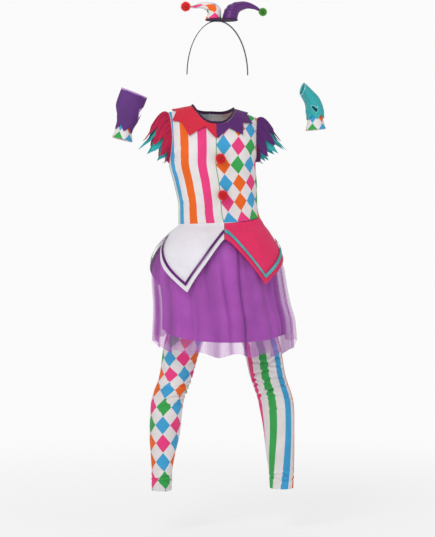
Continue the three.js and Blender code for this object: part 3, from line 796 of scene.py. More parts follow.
def net_degrees(u):
    """The angle round the skirt. The ruffles aren't quite evenly spread."""
    return u * 360 + sway(u * TURN, NET.spread)


def net_height(u, v):
    turn = u * TURN
    degrees = net_degrees(u)
    top = seam_z(degrees)
    hem = NET.hem - NET.front_drop * np.cos(np.radians(degrees))
    hem = hem + NET.hem_wave * (np.cos(turn * NET.waves) + np.sin(2 * turn + 2))
    return top, mix(top, hem, v**ROWS_CLOSER_AT_TOP)


def net_fold(degrees, drop):
    """How deep the net's narrow folds and fine gathers are, in millimetres."""
    grown = 1 - np.exp(-drop / NET.folds_grow)
    deep = np.zeros_like(degrees)
    for fold in rows_of(NET_FOLDS):
        away = degrees - fold.degrees - fold.lean * drop / NET.fold_leans
        deep = deep + fold.deep * hump((away + 180) % 360 - 180, 0, fold.wide)
    angle = np.radians(degrees)
    gathers = np.zeros_like(degrees)
    for row in rows_of(NET_GATHERS):
        phase = row.count * angle + row.sway * np.sin(row.sways * angle + row.start)
        kept = mix(row.kept, 1, np.exp(-drop / NET.gathers_end))
        gathers = gathers + row.deep * crest(phase + drop / row.drift) * kept
    return deep * grown + gathers * mix(NET.gathers_at_top, 1, grown)


def net_point(u, v):
    degrees = net_degrees(u)
    top, z = net_height(u, v)
    wave = np.cos(u * TURN * NET.waves)
    uneven = 1 - RUFFLE.uneven + RUFFLE.uneven * np.sin(RUFFLE.swells * u * TURN)
    out = ruffle_depth(top - z) * uneven * (wave - 1) - NET.inset
    return skirt_point(degrees, z, out - net_fold(degrees, top - z))


def slip_point(u, v):
    degrees = u * 360
    top = seam_z(degrees)
    hem = SLIP.hem - SLIP.front_drop * np.cos(np.radians(degrees))
    z = mix(top, hem, v**ROWS_CLOSER_AT_TOP)
    depth = ruffle_depth(top - z)
    angle = u * TURN
    waves = np.cos(13 * angle + 1.5 * np.sin(2 * angle)) + 0.6 * np.cos(23 * angle + 2)
    inset = SLIP.inset + SLIP.below_folds * depth + SLIP.clear + SLIP.soft * depth * waves
    return skirt_point(degrees, z, -inset)


def pointed_hem(panel, u):
    part = np.where(u < panel.tip, u / panel.tip, (1 - u) / (1 - panel.tip))
    notch = np.where(u < panel.tip, panel.start, panel.end)
    return mix(notch, panel.low, np.clip(part, 0, 1) ** panel.curve)


def panel_surface(panel, u, z, extra):
    inset = math.degrees(GAP / 2 / OVERSKIRT.radius) * np.sign(panel.end_at - panel.start_at)
    degrees = mix(panel.start_at + inset, panel.end_at - inset, u)
    drop = seam_z(degrees) - z
    lift = OVERSKIRT.clear * ease(share(drop, 0, OVERSKIRT.clear_below))
    billow = OVERSKIRT.billow * (0.5 + 0.5 * np.sin(OVERSKIRT.waves * u + 1))
    return skirt_point(degrees, z, lift + billow * share(drop, 0, OVERSKIRT.billow_below) + extra)


def panel_point(panel):
    def point(u, v):
        degrees = mix(panel.start_at, panel.end_at, u)
        z = mix(seam_z(degrees), pointed_hem(panel, u), v)
        folded = share(seam_z(degrees) - z, 0, OVERSKIRT.fold_below)
        fold = OVERSKIRT.fold * np.cos(OVERSKIRT.folds * u + 0.6) * folded
        return panel_surface(panel, u, z, fold - OVERSKIRT.fold)

    return point


def ribbon_point(panel):
    def point(u, v):
        up = mix(RIBBON.from_hem + RIBBON.width, RIBBON.from_hem, v)
        return panel_surface(panel, u, pointed_hem(panel, u) + up * RIBBON.steep, RIBBON.out)

    return point


def legging_height(v):
    return np.interp(v, LEG_ROWS["part"], LEG_ROWS["z"])


def leg_closing(z):
    """How far a row has closed from half of the seat into a whole leg."""
    return share(-z, -LEG.join, -LEG.crotch) ** 2


def legging_point(side, legs):
    def point(u, v):
        z = legging_height(v)
        closing = leg_closing(z)
        seat = read(SEAT, "z", np.maximum(z, LEG.crotch))
        leg = read(legs, "z", np.minimum(z, LEG.crotch))
        round_it = u * math.pi
        hip_x = seat.x + side * (seat.half * signed_power(np.sin(round_it), LEG.roundness) + GAP / 2)
        hip_y = -seat.deep * signed_power(np.cos(round_it), LEG.roundness)
        inner = u * TURN
        leg_x = leg.x - side * leg.half * np.cos(inner)
        leg_y = leg.y - leg.deep * np.sin(inner)
        y = mix(hip_y, leg_y, closing)
        apart = np.where(u < 0.5, -GAP, GAP) * LEG.apart * np.maximum(0, np.cos(inner))
        return spots(mix(hip_x, leg_x, closing), np.where(closing > LEG.closed, y + apart, y), z)

    return point


def legging_run(side, legs, u, z):
    """Distance round the legging from its front line, to the right of a viewer."""
    closing = leg_closing(z)
    leg = read(legs, "z", np.minimum(z, LEG.crotch))
    seat = read(SEAT, "z", np.maximum(z, LEG.crotch))
    around = mix(math.pi * (seat.half + seat.deep) / 2, math.pi * (leg.half + leg.deep), closing)
    return side * (u - mix(FRONT_LINE.seat, FRONT_LINE.leg, closing)) * around


def waistband_point(u, v):
    sine = signed_power(np.sin(u * TURN), LEG.roundness)
    cosine = signed_power(np.cos(u * TURN), LEG.roundness)
    ribs = WAISTBAND.rib * np.cos(v * TURN * WAISTBAND.ribs)
    return spots(
        WAISTBAND.x + (WAISTBAND.half + ribs) * sine,
        -(WAISTBAND.deep + ribs) * cosine,
        WAISTBAND.top - WAISTBAND.tall * v,
    )


def tube_point(rings, middle_y, petals=0):
    def point(u, v):
        angle = u * TURN
        tip = 1 - np.abs(2 * ((u * petals) % 1) - 1) if petals else 0 * u
        ring = read(rings, "s", v * (1 + PETAL_SHARE * tip))
        tilt = np.radians(ring.tilt)
        in_plane = ring.half * np.cos(angle)
        y = middle_y + ring.deep * np.sin(angle)
        return spots(ring.x + in_plane * np.cos(tilt), y, ring.z + in_plane * np.sin(tilt))

    return point


def crease_depth(rows, s, z):
    """Soft troughs with a low ridge beside each, set one by one."""
    total = np.zeros_like(s)
    for row in rows_of(rows):
        cosine, sine = math.cos(math.radians(row.turn)), math.sin(math.radians(row.turn))
        along = (s - row.s) * cosine + (z - row.z) * sine
        off = (z - row.z) * cosine - (s - row.s) * sine
        off = off + CREASE.bow * along * along / max(row.long / CREASE.bows_from, 0.5)
        ridge = CREASE.ridge * hump(off, 0, CREASE.ridge_wide * row.wide)
        shape = hump(off, 0, row.wide) - ridge
        total = total - row.deep * shape * np.exp(-((along / row.long) ** 4))
    return total


# Meshes

def only(piece):
    bpy.ops.object.select_all(action="DESELECT")
    piece.select_set(True)
    bpy.context.view_layer.objects.active = piece
    return piece


@contextmanager
def editing(piece, select="SELECT"):
    """Edit mode on one piece, with all of its mesh selected or none of it."""
    only(piece)
    bpy.ops.object.mode_set(mode="EDIT")
    bpy.ops.mesh.select_all(action=select)
    yield
    bpy.ops.object.mode_set(mode="OBJECT")


def mark_points(mesh, name, values):
    """Keeps a value at each point, for the materials to read."""
    layer = mesh.attributes.new(name, "FLOAT", "POINT")
    layer.data.foreach_set("value", np.ascontiguousarray(values, np.float32).reshape(-1))


def apply_modifier(piece, kind, **values):
    modifier = only(piece).modifiers.new(kind.title(), kind)
    for name, value in values.items():
        setattr(modifier, name, value)
    bpy.ops.object.modifier_apply(modifier=modifier.name)


def smooth(piece, degrees=50):
    only(piece)
    bpy.ops.object.shade_smooth_by_angle(angle=math.radians(degrees))


def round_hole(u, v, hole):
    """Moves the grid's points nearest an oval hole onto it, and says which cells it takes out."""
    off_u = (u - hole.u + 0.5) % 1 - 0.5
    off_v = v - hole.v
    far = np.hypot(off_u / hole.half_u, off_v / hole.half_v)
    inside = far < 1
    gone = inside[:-1, :-1] & inside[1:, :-1] & inside[1:, 1:] & inside[:-1, 1:]
    rows, columns = gone.shape
    touched, kept = np.zeros_like(inside), np.zeros_like(inside)
    for down, right in ((0, 0), (0, 1), (1, 0), (1, 1)):
        touched[down : down + rows, right : right + columns] |= gone
        kept[down : down + rows, right : right + columns] |= ~gone
    edge = touched & kept
    grow = np.where(edge, 1 / np.maximum(far, 1e-6), 1)
    return u - off_u + off_u * grow, v - off_v + off_v * grow, gone, far


def outward(p, closed):
    if closed:
        wide = np.concatenate([p[:, -2:-1], p, p[:, 1:2]], axis=1)
        along_u = (wide[:, 2:] - wide[:, :-2]) / 2
    else:
        along_u = np.gradient(p, axis=1)
    normal = unit(np.cross(along_u, np.gradient(p, axis=0)))
    centre = p.reshape(-1, 3).mean(axis=0)
    sign = 1 if np.sum(normal * (p - centre)) > 0 else -1
    return normal * sign, sign


def cloth(name, point, grid, cut, closed=False, wall=0.8, relief=None, hole=None, **marks):
    """A sheet of cloth over a grid, with its cut as a UV map in metres and its wall inwards."""
    columns, rows = GRIDS[grid]
    i, j = np.meshgrid(np.arange(columns + 1), np.arange(rows + 1))
    u, v = i / columns, j / rows
    gone = np.zeros((rows, columns), bool)
    if hole:
        u, v, gone, from_hole = round_hole(u, v, hole)
        marks["from_hole"] = lambda u, v, p: (from_hole - 1) * THUMB_RADIUS
    p = point(u, v)
    normal, sign = outward(p, closed)
    if relief:
        p = p + normal * relief(u, v, p)[..., None]
    cut_u, cut_v = np.broadcast_arrays(*cut(u, v, p))
    stored = columns if closed else columns + 1
    index = lambda jj, ii: jj * stored + (ii % columns if closed else ii)
    jj, ii = np.nonzero(~gone)
    corners = [(jj, ii), (jj, ii + 1), (jj + 1, ii + 1), (jj + 1, ii)]
    if sign < 0:
        corners.reverse()
    faces = np.stack([index(a, b) for a, b in corners], axis=1)
    on_map = np.stack([np.stack([cut_u[a, b], cut_v[a, b]], axis=-1) for a, b in corners], axis=1)
    mesh = bpy.data.meshes.new(name)
    mesh.from_pydata((p[:, :stored].reshape(-1, 3) * MM).tolist(), [], faces.tolist())
    mesh.uv_layers.new(name="cut").data.foreach_set("uv", on_map.reshape(-1).astype(np.float32))
    for mark, values in marks.items():
        mark_points(mesh, mark, np.broadcast_to(values(u, v, p), u.shape)[:, :stored])
    piece = bpy.data.objects.new(f"{name}_cloth", mesh)
    bpy.context.collection.objects.link(piece)
    if gone.any():
        with editing(piece):
            bpy.ops.mesh.delete_loose()
    if wall:
        outer = len(piece.data.vertices)
        apply_modifier(piece, "SOLIDIFY", thickness=wall * MM, offset=-1)
        mark_points(piece.data, "inside", np.arange(len(piece.data.vertices)) >= outer)
    smooth(piece)
    return piece


def wear(piece, node, slot_name, material):
    """Gives a piece its material and its place on the body, and hides the solid that it stands for."""
    piece.data.materials.append(material)
    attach(piece, "root")
    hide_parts(node)


# Each sheet's cut before it was sewn: width and length in metres, and its area where it has a shape
CUTS = {
    "bodice_front_left": (0.155, 0.34, 0.042),
    "bodice_front_right": (0.155, 0.33, 0.04),
    "bodice_back_left": (0.155, 0.35, 0.043),
    "bodice_back_right": (0.155, 0.34, 0.041),
    "collar_left": (0.27, 0.13, 0.0155),
    "collar_right": (0.26, 0.12, 0.0135),
    "neck_binding": (0.4, 0.011, 0.0032),
    "sleeve_left_upper": (0.36, 0.1, 0.0155),
    "sleeve_right_upper": (0.36, 0.095, 0.0142),
    "sleeve_left_lower": (0.34, 0.125, 0.0165),
    "sleeve_right_lower": (0.34, 0.12, 0.0148),
    "skirt_panel_front_left": (0.22, 0.2, 0.026),
    "skirt_panel_front_right": (0.24, 0.19, 0.026),
    "skirt_panel_back_left": (0.26, 0.2, 0.032),
    "skirt_panel_back_right": (0.25, 0.2, 0.0305),
    "ribbon_front_left": (0.01, 0.37, 0.0026),
    "ribbon_front_right": (0.01, 0.34, 0.0027),
    "ribbon_back_left": (0.01, 0.39, 0.0031),
    "ribbon_back_right": (0.01, 0.36, 0.0029),
    "net_skirt": (1.4, 0.33, None),
    "under_skirt": (0.96, 0.29, None),
    "legging_left": (0.38, 0.71, 0.18),
    "legging_right": (0.38, 0.71, 0.185),
    "leggings_waistband": (0.52, 0.028, None),
    "glove_left": (0.21, 0.11, 0.0155),
    "glove_right": (0.2, 0.11, 0.0137),
    "cuff_left": (0.16, 0.05, 0.0066),
    "cuff_right": (0.16, 0.05, 0.0065),
}


def sheet(piece, node):
    width, length, area = CUTS[node]


# Materials. Their measures are in metres, on the cut map

KNIT = SimpleNamespace(
    rough=0.72, sheen=0.1, sheen_rough=0.4, specular=0.25, x=0.0011, y=0.0014, slant=2.4, deep=0.0002
)
PRINT = SimpleNamespace(inside=0.7, seam=0.0034)
STITCH = SimpleNamespace(
    at=0.003, half=0.0004, pitch=0.003, thread=0.66, shows=0.6, sunk=2.0, shade=(0.55,)
)
HEM = SimpleNamespace(wide=0.0014, shows=0.35, shade=(1.35, 0.01))
# Uneven tone of the cloths: dye, and on the ribbons painted highlight and shade along the satin
UNEVEN_DYE_AND_GLOSS = SimpleNamespace(scale=24, detail=3, low=0.3, high=0.7)
CLOTH_KINDS = entries(
    "rough sheen x y knit deep uneven",
    jersey=(0.7, 0.1, 0.0011, 0.0014, True, 0.0002, 0.06),
    felt=(0.9, 0.08, 0.0017, 0.0013, False, 0.00025, 0.06),
    woven=(0.55, 0.1, 0.0008, 0.0008, False, 0.00008, 0.04),
    satin=(0.34, 0.05, 0.0005, 0.0021, False, 0.00005, 0.08),
    # The ribbon's strong unevenness is painted highlight and shade along the satin
    ribbon=(0.2, 0.0, 0.0005, 0.0018, False, 0.00006, 0.3),
)
GLOVE_CLOTH = SimpleNamespace(thumb_rim=0.0028, finger_rim=0.0034, shows=0.8, y=0.0013, uneven=0.08)
NET_MESH = SimpleNamespace(
    x=0.0021, y=0.0026, core=0.1, edge=0.3, threads=0.22, single=0.14, folded=0.55, most=0.97,
    fold_from=1.0, fold_to=8.0,
)


def linear(*srgb):
    """An sRGB colour, 0 to 255, as the shader's own values."""
    dark = lambda c: c / 255 / 12.92
    bright = lambda c: ((c / 255 + 0.055) / 1.055) ** 2.4
    return tuple(dark(c) if c < 10 else bright(c) for c in srgb)


def shaded(colour, times, plus=0.0):
    """A lighter or a darker tone of a colour."""
    return tuple(min(1, c * times + plus) for c in colour)


class Wiring:
    """A material's nodes, and short ways to add and join them."""

    def __init__(self, name, roughness, **shader_values):
        self.material = bpy.data.materials.new(name)
        self.material.use_nodes = True
        self.tree = self.material.node_tree
        self.shader = self.tree.nodes["Principled BSDF"]
        self.set(Roughness=roughness, **shader_values)

    def set(self, **values):
        for name, value in values.items():
            self.feed(self.shader.inputs[name.replace("_", " ")], value)

    def feed(self, socket, value):
        if isinstance(value, bpy.types.NodeSocket):
            self.tree.links.new(value, socket)
        elif hasattr(value, "__len__") and len(value) == 3 and socket.type == "RGBA":
            socket.default_value = (*value, 1)
        else:
            socket.default_value = value

    def node(self, kind, inputs=(), **settings):
        made = self.tree.nodes.new(kind)
        for name, value in settings.items():
            setattr(made, name, value)
        for key, value in dict(inputs).items():
            self.feed(made.inputs[key], value)
        return made

    def math(self, operation, *values):
        return self.node("ShaderNodeMath", dict(enumerate(values)), operation=operation).outputs[0]

    plus = partialmethod(math, "ADD")
    minus = partialmethod(math, "SUBTRACT")
    times = partialmethod(math, "MULTIPLY")
    over = partialmethod(math, "DIVIDE")
    less = partialmethod(math, "LESS_THAN")
    absolute = partialmethod(math, "ABSOLUTE")
    wrap = partialmethod(math, "FLOORED_MODULO")

    def mix(self, part, first, second):
        made = self.node("ShaderNodeMix", {0: part, 6: first, 7: second}, data_type="RGBA")
        return made.outputs[2]

    def cut_map(self):
        """The cloth's cut map: metres across and along the cloth."""
        made = self.node("ShaderNodeUVMap", uv_map="cut")
        split = self.node("ShaderNodeSeparateXYZ", {0: made.outputs[0]})
        return split.outputs[0], split.outputs[1]

    def mark(self, name):
        return self.node("ShaderNodeAttribute", attribute_name=name).outputs["Fac"]

    def noise(self, scale, detail):
        place = self.node("ShaderNodeTexCoord").outputs["Object"]
        made = self.node("ShaderNodeTexNoise", {"Vector": place, "Scale": scale, "Detail": detail})
        return made.outputs["Fac"]

    def steps(self, factor, colours):
        """One flat colour for each step of the factor."""
        ramp = self.node("ShaderNodeValToRGB", {0: factor})
        ramp.color_ramp.interpolation = "CONSTANT"
        elements = ramp.color_ramp.elements
        while len(elements) > 1:
            elements.remove(elements[-1])
        elements[0].position = 0
        elements[0].color = (*colours[0], 1)
        for k, colour in enumerate(colours[1:], 1):
            elements.new(k / len(colours)).color = (*colour, 1)
        return ramp.outputs[0]

    def range(self, value, low, high, to_low=0.0, to_high=1.0):
        made = self.node("ShaderNodeMapRange", dict(enumerate((value, low, high, to_low, to_high))))
        return made.outputs[0]

    def threads(self, pitch_x, pitch_y, knit=False):
        """Height of a plain weave, or of knitted ribs, from 0 to 1."""
        x, y = self.cut_map()
        rise_x = self.math("SINE", self.times(x, TURN / pitch_x))
        slant = self.times(self.absolute(rise_x), KNIT.slant) if knit else 0.0
        turn_y = self.plus(self.times(y, TURN / pitch_y), slant)
        rise_y = self.math("SINE", turn_y)
        if knit:
            return self.plus(self.absolute(rise_x), self.times(rise_y, 0.5))
        return self.times(rise_x, rise_y)

    def stitches(self, from_edge, along):
        """A row of stitches beside an edge: 1 on the thread and 0 elsewhere."""
        line = self.less(self.absolute(self.minus(from_edge, STITCH.at)), STITCH.half)
        dash = self.less(self.math("FRACT", self.over(along, STITCH.pitch)), STITCH.thread)
        return self.times(line, dash)

    def bump(self, height, distance, strength=0.6):
        relief = {"Height": height, "Distance": distance, "Strength": strength}
        self.set(Normal=self.node("ShaderNodeBump", relief).outputs[0])

    def finish(self, colour, height, distance, uneven=0.06, strength=0.6):
        """Uneven dyeing over the colour, then the threads' relief. On the ribbons the unevenness is
        painted highlight and shade along the satin.
        """
        dye_and_gloss = self.noise(UNEVEN_DYE_AND_GLOSS.scale, UNEVEN_DYE_AND_GLOSS.detail)
        shade = self.range(dye_and_gloss, UNEVEN_DYE_AND_GLOSS.low, UNEVEN_DYE_AND_GLOSS.high, 1 - uneven, 1 + uneven)
        tinted = self.node("ShaderNodeVectorMath", {0: colour, 3: shade}, operation="SCALE")
        self.set(Base_Color=tinted.outputs[0])
        self.bump(height, distance, strength)
        return self.material


def print_colours(settings, letters):
    inks = {"B": settings.blue, "O": settings.orange, "P": settings.pink, "G": settings.green}
    return [inks[letter] for letter in letters]


def knit_wiring(name):
    return Wiring(
        name, KNIT.rough,
        Sheen_Weight=KNIT.sheen, Sheen_Roughness=KNIT.sheen_rough, Specular_IOR_Level=KNIT.specular,
    )


def finish_print(wires, on_print, inks, settings):
    """The print on its pale ground, fainter inside, with a pale seam along the edge marked trim."""
    printed = wires.mix(on_print, settings.ground, inks)
    printed = wires.mix(wires.times(wires.mark("inside"), PRINT.inside), printed, settings.ground)
    on_trim = wires.less(wires.mark("trim"), PRINT.seam)
    marked = wires.math("GREATER_THAN", wires.mark("trim"), 0.0)
    printed = wires.mix(wires.times(on_trim, marked), printed, settings.ground)
    return wires.finish(printed, wires.threads(KNIT.x, KNIT.y, knit=True), KNIT.deep)


def striped_knit(name, settings, pitch, start, order="GPOB", coloured=0.5):
    """Printed stripes that run down the cloth, about as wide as the gaps between them."""
    wires = knit_wiring(name)
    x, _ = wires.cut_map()
    place = wires.over(wires.minus(x, start), pitch)
    number = wires.math("FLOOR", place)
    on_stripe = wires.less(wires.minus(place, number), coloured)
    wrapped = wires.wrap(number, float(len(order)))
    found = wires.over(wires.plus(wrapped, 0.5), float(len(order)))
    return finish_print(wires, on_stripe, wires.steps(found, print_colours(settings, order)), settings)


def diamond_knit(name, settings, wide, tall, start, chart):
    """Printed diamonds, tip to tip, on the pale ground. The chart has four to a row."""
    wires = knit_wiring(name)
    x, y = wires.cut_map()
    right = wires.over(wires.minus(x, start[0]), wide)
    down = wires.over(wires.minus(start[1], y), tall)
    first = wires.math("ROUND", wires.plus(right, down))
    second = wires.math("ROUND", wires.minus(right, down))
    total = wires.plus(first, second)
    apart = wires.minus(first, second)
    parity = wires.wrap(total, 2.0)
    on_diamond = wires.less(parity, 0.5)
    column = wires.wrap(wires.times(total, 0.5), 4.0)
    row = wires.wrap(wires.times(apart, 0.5), float(len(chart)))
    place = wires.plus(wires.times(row, 4.0), wires.plus(column, 0.5))
    order = print_colours(settings, "".join(chart))
    found = wires.steps(wires.over(place, float(len(order))), order)
    return finish_print(wires, on_diamond, found, settings)


def plain_cloth(name, colour, kind):
    """Plain dyed cloth of one of the kinds above, with a stitched hem where edge is marked."""
    kind = CLOTH_KINDS[kind]
    wires = Wiring(
        name, kind.rough, Sheen_Weight=kind.sheen, Sheen_Roughness=0.4, Specular_IOR_Level=0.3
    )
    edge = wires.mark("edge")
    x, _ = wires.cut_map()
    sewn = wires.stitches(edge, x)
    hem = wires.range(edge, 0.0, HEM.wide, 1.0, 0.0)
    tone = wires.mix(wires.times(sewn, STITCH.shows), colour, shaded(colour, *STITCH.shade))
    tone = wires.mix(wires.times(hem, HEM.shows), tone, shaded(colour, *HEM.shade))
    height = wires.threads(kind.x, kind.y, kind.knit)
    height = wires.minus(height, wires.times(sewn, STITCH.sunk))
    return wires.finish(tone, height, kind.deep, kind.uneven)


def glove_cloth(name, colour, rim):
    """Stretch jersey with a pale narrow hem at the fingers and round the thumb."""
    wires = Wiring(name, 0.6, Sheen_Weight=0.12, Sheen_Roughness=0.4, Specular_IOR_Level=0.35)
    at_rim = wires.less(wires.mark("from_hole"), GLOVE_CLOTH.thumb_rim)
    at_hem = wires.less(wires.mark("fingers"), GLOVE_CLOTH.finger_rim)
    pale = wires.math("MAXIMUM", at_rim, at_hem)
    tone = wires.mix(wires.times(pale, GLOVE_CLOTH.shows), colour, rim)
    knit = wires.threads(KNIT.x, GLOVE_CLOTH.y, knit=True)
    return wires.finish(tone, knit, KNIT.deep, uneven=GLOVE_CLOTH.uneven)


def sheer_net(name, light, dark):
    """Fine net: it lets through more where it is single, and less in its folds. Its colour is darker in
    the folds: partly the net's thicker layers, partly painted shade.
    """
    wires = Wiring(name, 0.55, Sheen_Weight=0.3, Sheen_Roughness=0.35, Specular_IOR_Level=0.3)
    fold = wires.range(wires.mark("fold"), NET_MESH.fold_from, NET_MESH.fold_to)
    wires.material.surface_render_method = "DITHERED"
    x, y = wires.cut_map()
    crossing = []
    for sign in (1.0, -1.0):
        right = wires.times(x, 1 / NET_MESH.x)
        slant = wires.plus(right, wires.times(y, sign / NET_MESH.y))
        away = wires.absolute(wires.minus(wires.math("FRACT", slant), 0.5))
        crossing.append(wires.range(away, NET_MESH.core, NET_MESH.edge, 1.0, 0.0))
    thread = wires.math("MAXIMUM", *crossing)
    cloudy = wires.math("MULTIPLY_ADD", fold, NET_MESH.folded, NET_MESH.single)
    cover = wires.plus(wires.times(thread, NET_MESH.threads), cloudy)
    wires.set(Alpha=wires.math("MINIMUM", cover, NET_MESH.most))
    # Painted shade: the net's colour darkens with the fold mark, in its folds and in the ruffles'
    # troughs
    return wires.finish(wires.mix(fold, light, dark), thread, 0.0001, uneven=0.1)


def yarn(name, colour):
    """Cut yarn: each lock a little lighter or darker, and darker towards its root and on the core, as
    painted shade inside the pompom.
    """
    wires = Wiring(name, 0.85, Sheen_Weight=0.2, Sheen_Roughness=0.5, Specular_IOR_Level=0.2)
    shaded_tones = wires.mix(wires.mark("tone"), shaded(colour, *YARN.dark), shaded(colour, *YARN.light))
    return wires.finish(shaded_tones, wires.noise(scale=1400, detail=2), distance=0.0003)


def floor_material(name, colour, glow):
    """A pale floor that grows as bright as the surroundings further out, so no edge shows."""
    wires = Wiring(name, 0.9, Specular_IOR_Level=0.0)
    place = wires.node("ShaderNodeTexCoord").outputs["Object"]
    away = wires.node("ShaderNodeVectorMath", {0: place}, operation="LENGTH").outputs[1]
    reach = {0: away, 1: FLOOR.bright_from, 2: FLOOR.bright_at, 3: FLOOR.least}
    far = wires.node("ShaderNodeMapRange", reach, interpolation_type="SMOOTHSTEP").outputs[0]
    wires.set(Emission_Color=(1.0, 1.0, 1.0), Emission_Strength=wires.times(far, glow))
    tone = wires.mix(far, colour, (0, 0, 0))
    grain = wires.noise(scale=3, detail=2)
    return wires.finish(tone, grain, distance=0.0001, uneven=0.004, strength=0.05)


# Settings

def size(name, description, default, low, high, unit="LENGTH"):
    return FloatProperty(
        name=name, description=description, default=default, min=low, max=high, unit=unit, precision=4
    )


def number(name, description, default, low, high):
    return FloatProperty(name=name, description=description, default=default, min=low, max=high)


def colour(name, description, *srgb):
    return FloatVectorProperty(
        name=name, description=description, default=linear(*srgb), size=3, min=0, max=1, subtype="COLOR"
    )


class PrintSettings(bpy.types.PropertyGroup):
    """The stripes and diamonds."""

    stripe_pitch: size("Bodice stripe pitch", "One stripe and one gap of the bodice", 0.043, 0.01, 0.1)
    leg_stripe_pitch: size(
        "Leg stripe pitch", "One stripe and one gap of the leggings", 0.0445, 0.01, 0.1
    )
    diamond_width: size("Diamond width", "Width of a bodice diamond", 0.0364, 0.01, 0.1)
    diamond_height: size("Diamond height", "Height of a bodice diamond", 0.0497, 0.01, 0.1)
    leg_diamond_width: size("Leg diamond width", "Width of a diamond of the leggings", 0.0418, 0.01, 0.1)
    ground: colour("Ground", "Unprinted cloth", 230, 224, 224)
    blue: colour("Blue", "Blue of the prints", 62, 160, 210)
    orange: colour("Orange", "Orange of the prints", 236, 102, 28)
    pink: colour("Pink", "Pink of the prints", 235, 62, 130)
    green: colour("Green", "Green of the prints", 56, 165, 80)


class ClothSettings(bpy.types.PropertyGroup):
    """The plain cloths, ribbons and yarns."""

    wall: size("Cloth thickness", "Thickness of the jersey", 0.0008, 0.0004, 0.0012)
    collar_red: colour("Collar red", "Red half of the collar", 212, 34, 62)
    collar_purple: colour("Collar purple", "Purple half of the collar", 88, 34, 108)
    binding: colour("Binding", "Neck binding and hat base", 52, 20, 60)
    crimson: colour("Crimson", "Upper petals of one sleeve", 186, 24, 70)
    purple: colour("Purple", "Purple jersey of a glove and the waistband", 90, 42, 118)
    horn_purple: colour("Horn purple", "Purple satin of a horn", 84, 32, 104)
    teal: colour("Teal", "Teal petals and glove", 48, 172, 176)
    white: colour("White", "White pointed panels", 230, 226, 233)
    pink: colour("Pink", "Pink pointed panels", 228, 42, 98)
    purple_ribbon: colour("Purple ribbon", "Ribbon on the white panels", 92, 22, 106)
    teal_ribbon: colour("Teal ribbon", "Ribbon on the pink panels", 76, 168, 174)
    net_light: colour("Net", "Net where it is single", 200, 108, 208)
    # Darker net of the folds: partly the thicker layers of net, partly painted shade
    net_fold_shade: colour("Net folds", "Net where it is folded", 132, 54, 144)
    slip: colour("Under-skirt", "Satin under the net", 182, 84, 190)
    yarn_red: colour("Red yarn", "Red pompoms", 234, 38, 48)
    yarn_green: colour("Green yarn", "Green ball", 80, 166, 50)


class FoldSettings(bpy.types.PropertyGroup):
    """How the cloth is gathered and creased."""

    creases: number("Crease depth", "Depth of all creases, against the tables", 2.0, 0.0, 3.0)
    sleeve_pleats: IntProperty(
        name="Sleeve gathers", description="Fine gathers at a sleeve head", default=26, min=8, max=48
    )
    locks: IntProperty(
        name="Pompom locks", description="Locks of yarn in each pompom", default=1400, min=200, max=3000
    )


class StageSettings(bpy.types.PropertyGroup):
    """Camera and light."""

    turn: size(
        "Camera turn", "Camera's angle round the costume", math.radians(-7), -3.2, 3.2, unit="ROTATION"
    )
    distance: size("Camera distance", "From the camera to the costume", 4.2, 1.0, 8.0)
    eye: size("Camera height", "Height of the camera", -0.3, -1.0, 2.0)
    key: number("Key light", "Strength of the key light", 58.0, 0.0, 400.0)
    fill: number("Fill light", "Strength of the fill light", 14.0, 0.0, 400.0)
    sky: number("Surroundings", "Brightness of the pale surroundings", 0.96, 0.0, 3.0)
    soft: number("Soft light", "Strength of the light all round", 0.38, 0.0, 3.0)


# Operators, one for each piece or group of like pieces

# Columns and rows of each cloth's mesh
GRIDS = {
    "bodice": (60, 76),
    "collar": (192, 14),
    "neck_binding": (160, 6),
    "sleeve_upper": (256, 44),
    "sleeve_lower": (224, 44),
    "skirt_panel": (96, 56),
    "ribbon": (120, 4),
    "net_skirt": (640, 80),
    "under_skirt": (220, 48),
    "legging": (84, 236),
    "waistband": (120, 24),
    "glove": (144, 84),
    "cuff": (96, 28),
    "horn": (72, 66),
}
# Width and length of a cut map that is spread evenly over its piece, in metres
SPREADS = {
    "neck_binding": (0.31, 0.006),
    "sleeve": (0.27, -0.11),
    "waistband": (0.54, 0.028),
    "glove": (0.165, -0.09),
    "cuff": (0.155, -0.05),
    "horn": (0.12, -0.11),
}


def spread(kind, start=0.0):
    """A cut map over the whole piece, one of SPREADS."""
    wide, tall = SPREADS[kind]
    return lambda u, v, p: ((u - start) * wide, v * tall)


def from_hem(tall):
    """Distance up from the hem of a piece that is so tall, in metres."""
    return lambda u, v, p: (1 - v) * tall


class CostumeOperator:
    """What the costume's operators share."""

    bl_options = {"REGISTER", "UNDO"}

    def execute(self, context):
        self.make(context.scene.costume_print, context.scene.costume_cloth, context.scene.costume_folds)
        return {"FINISHED"}


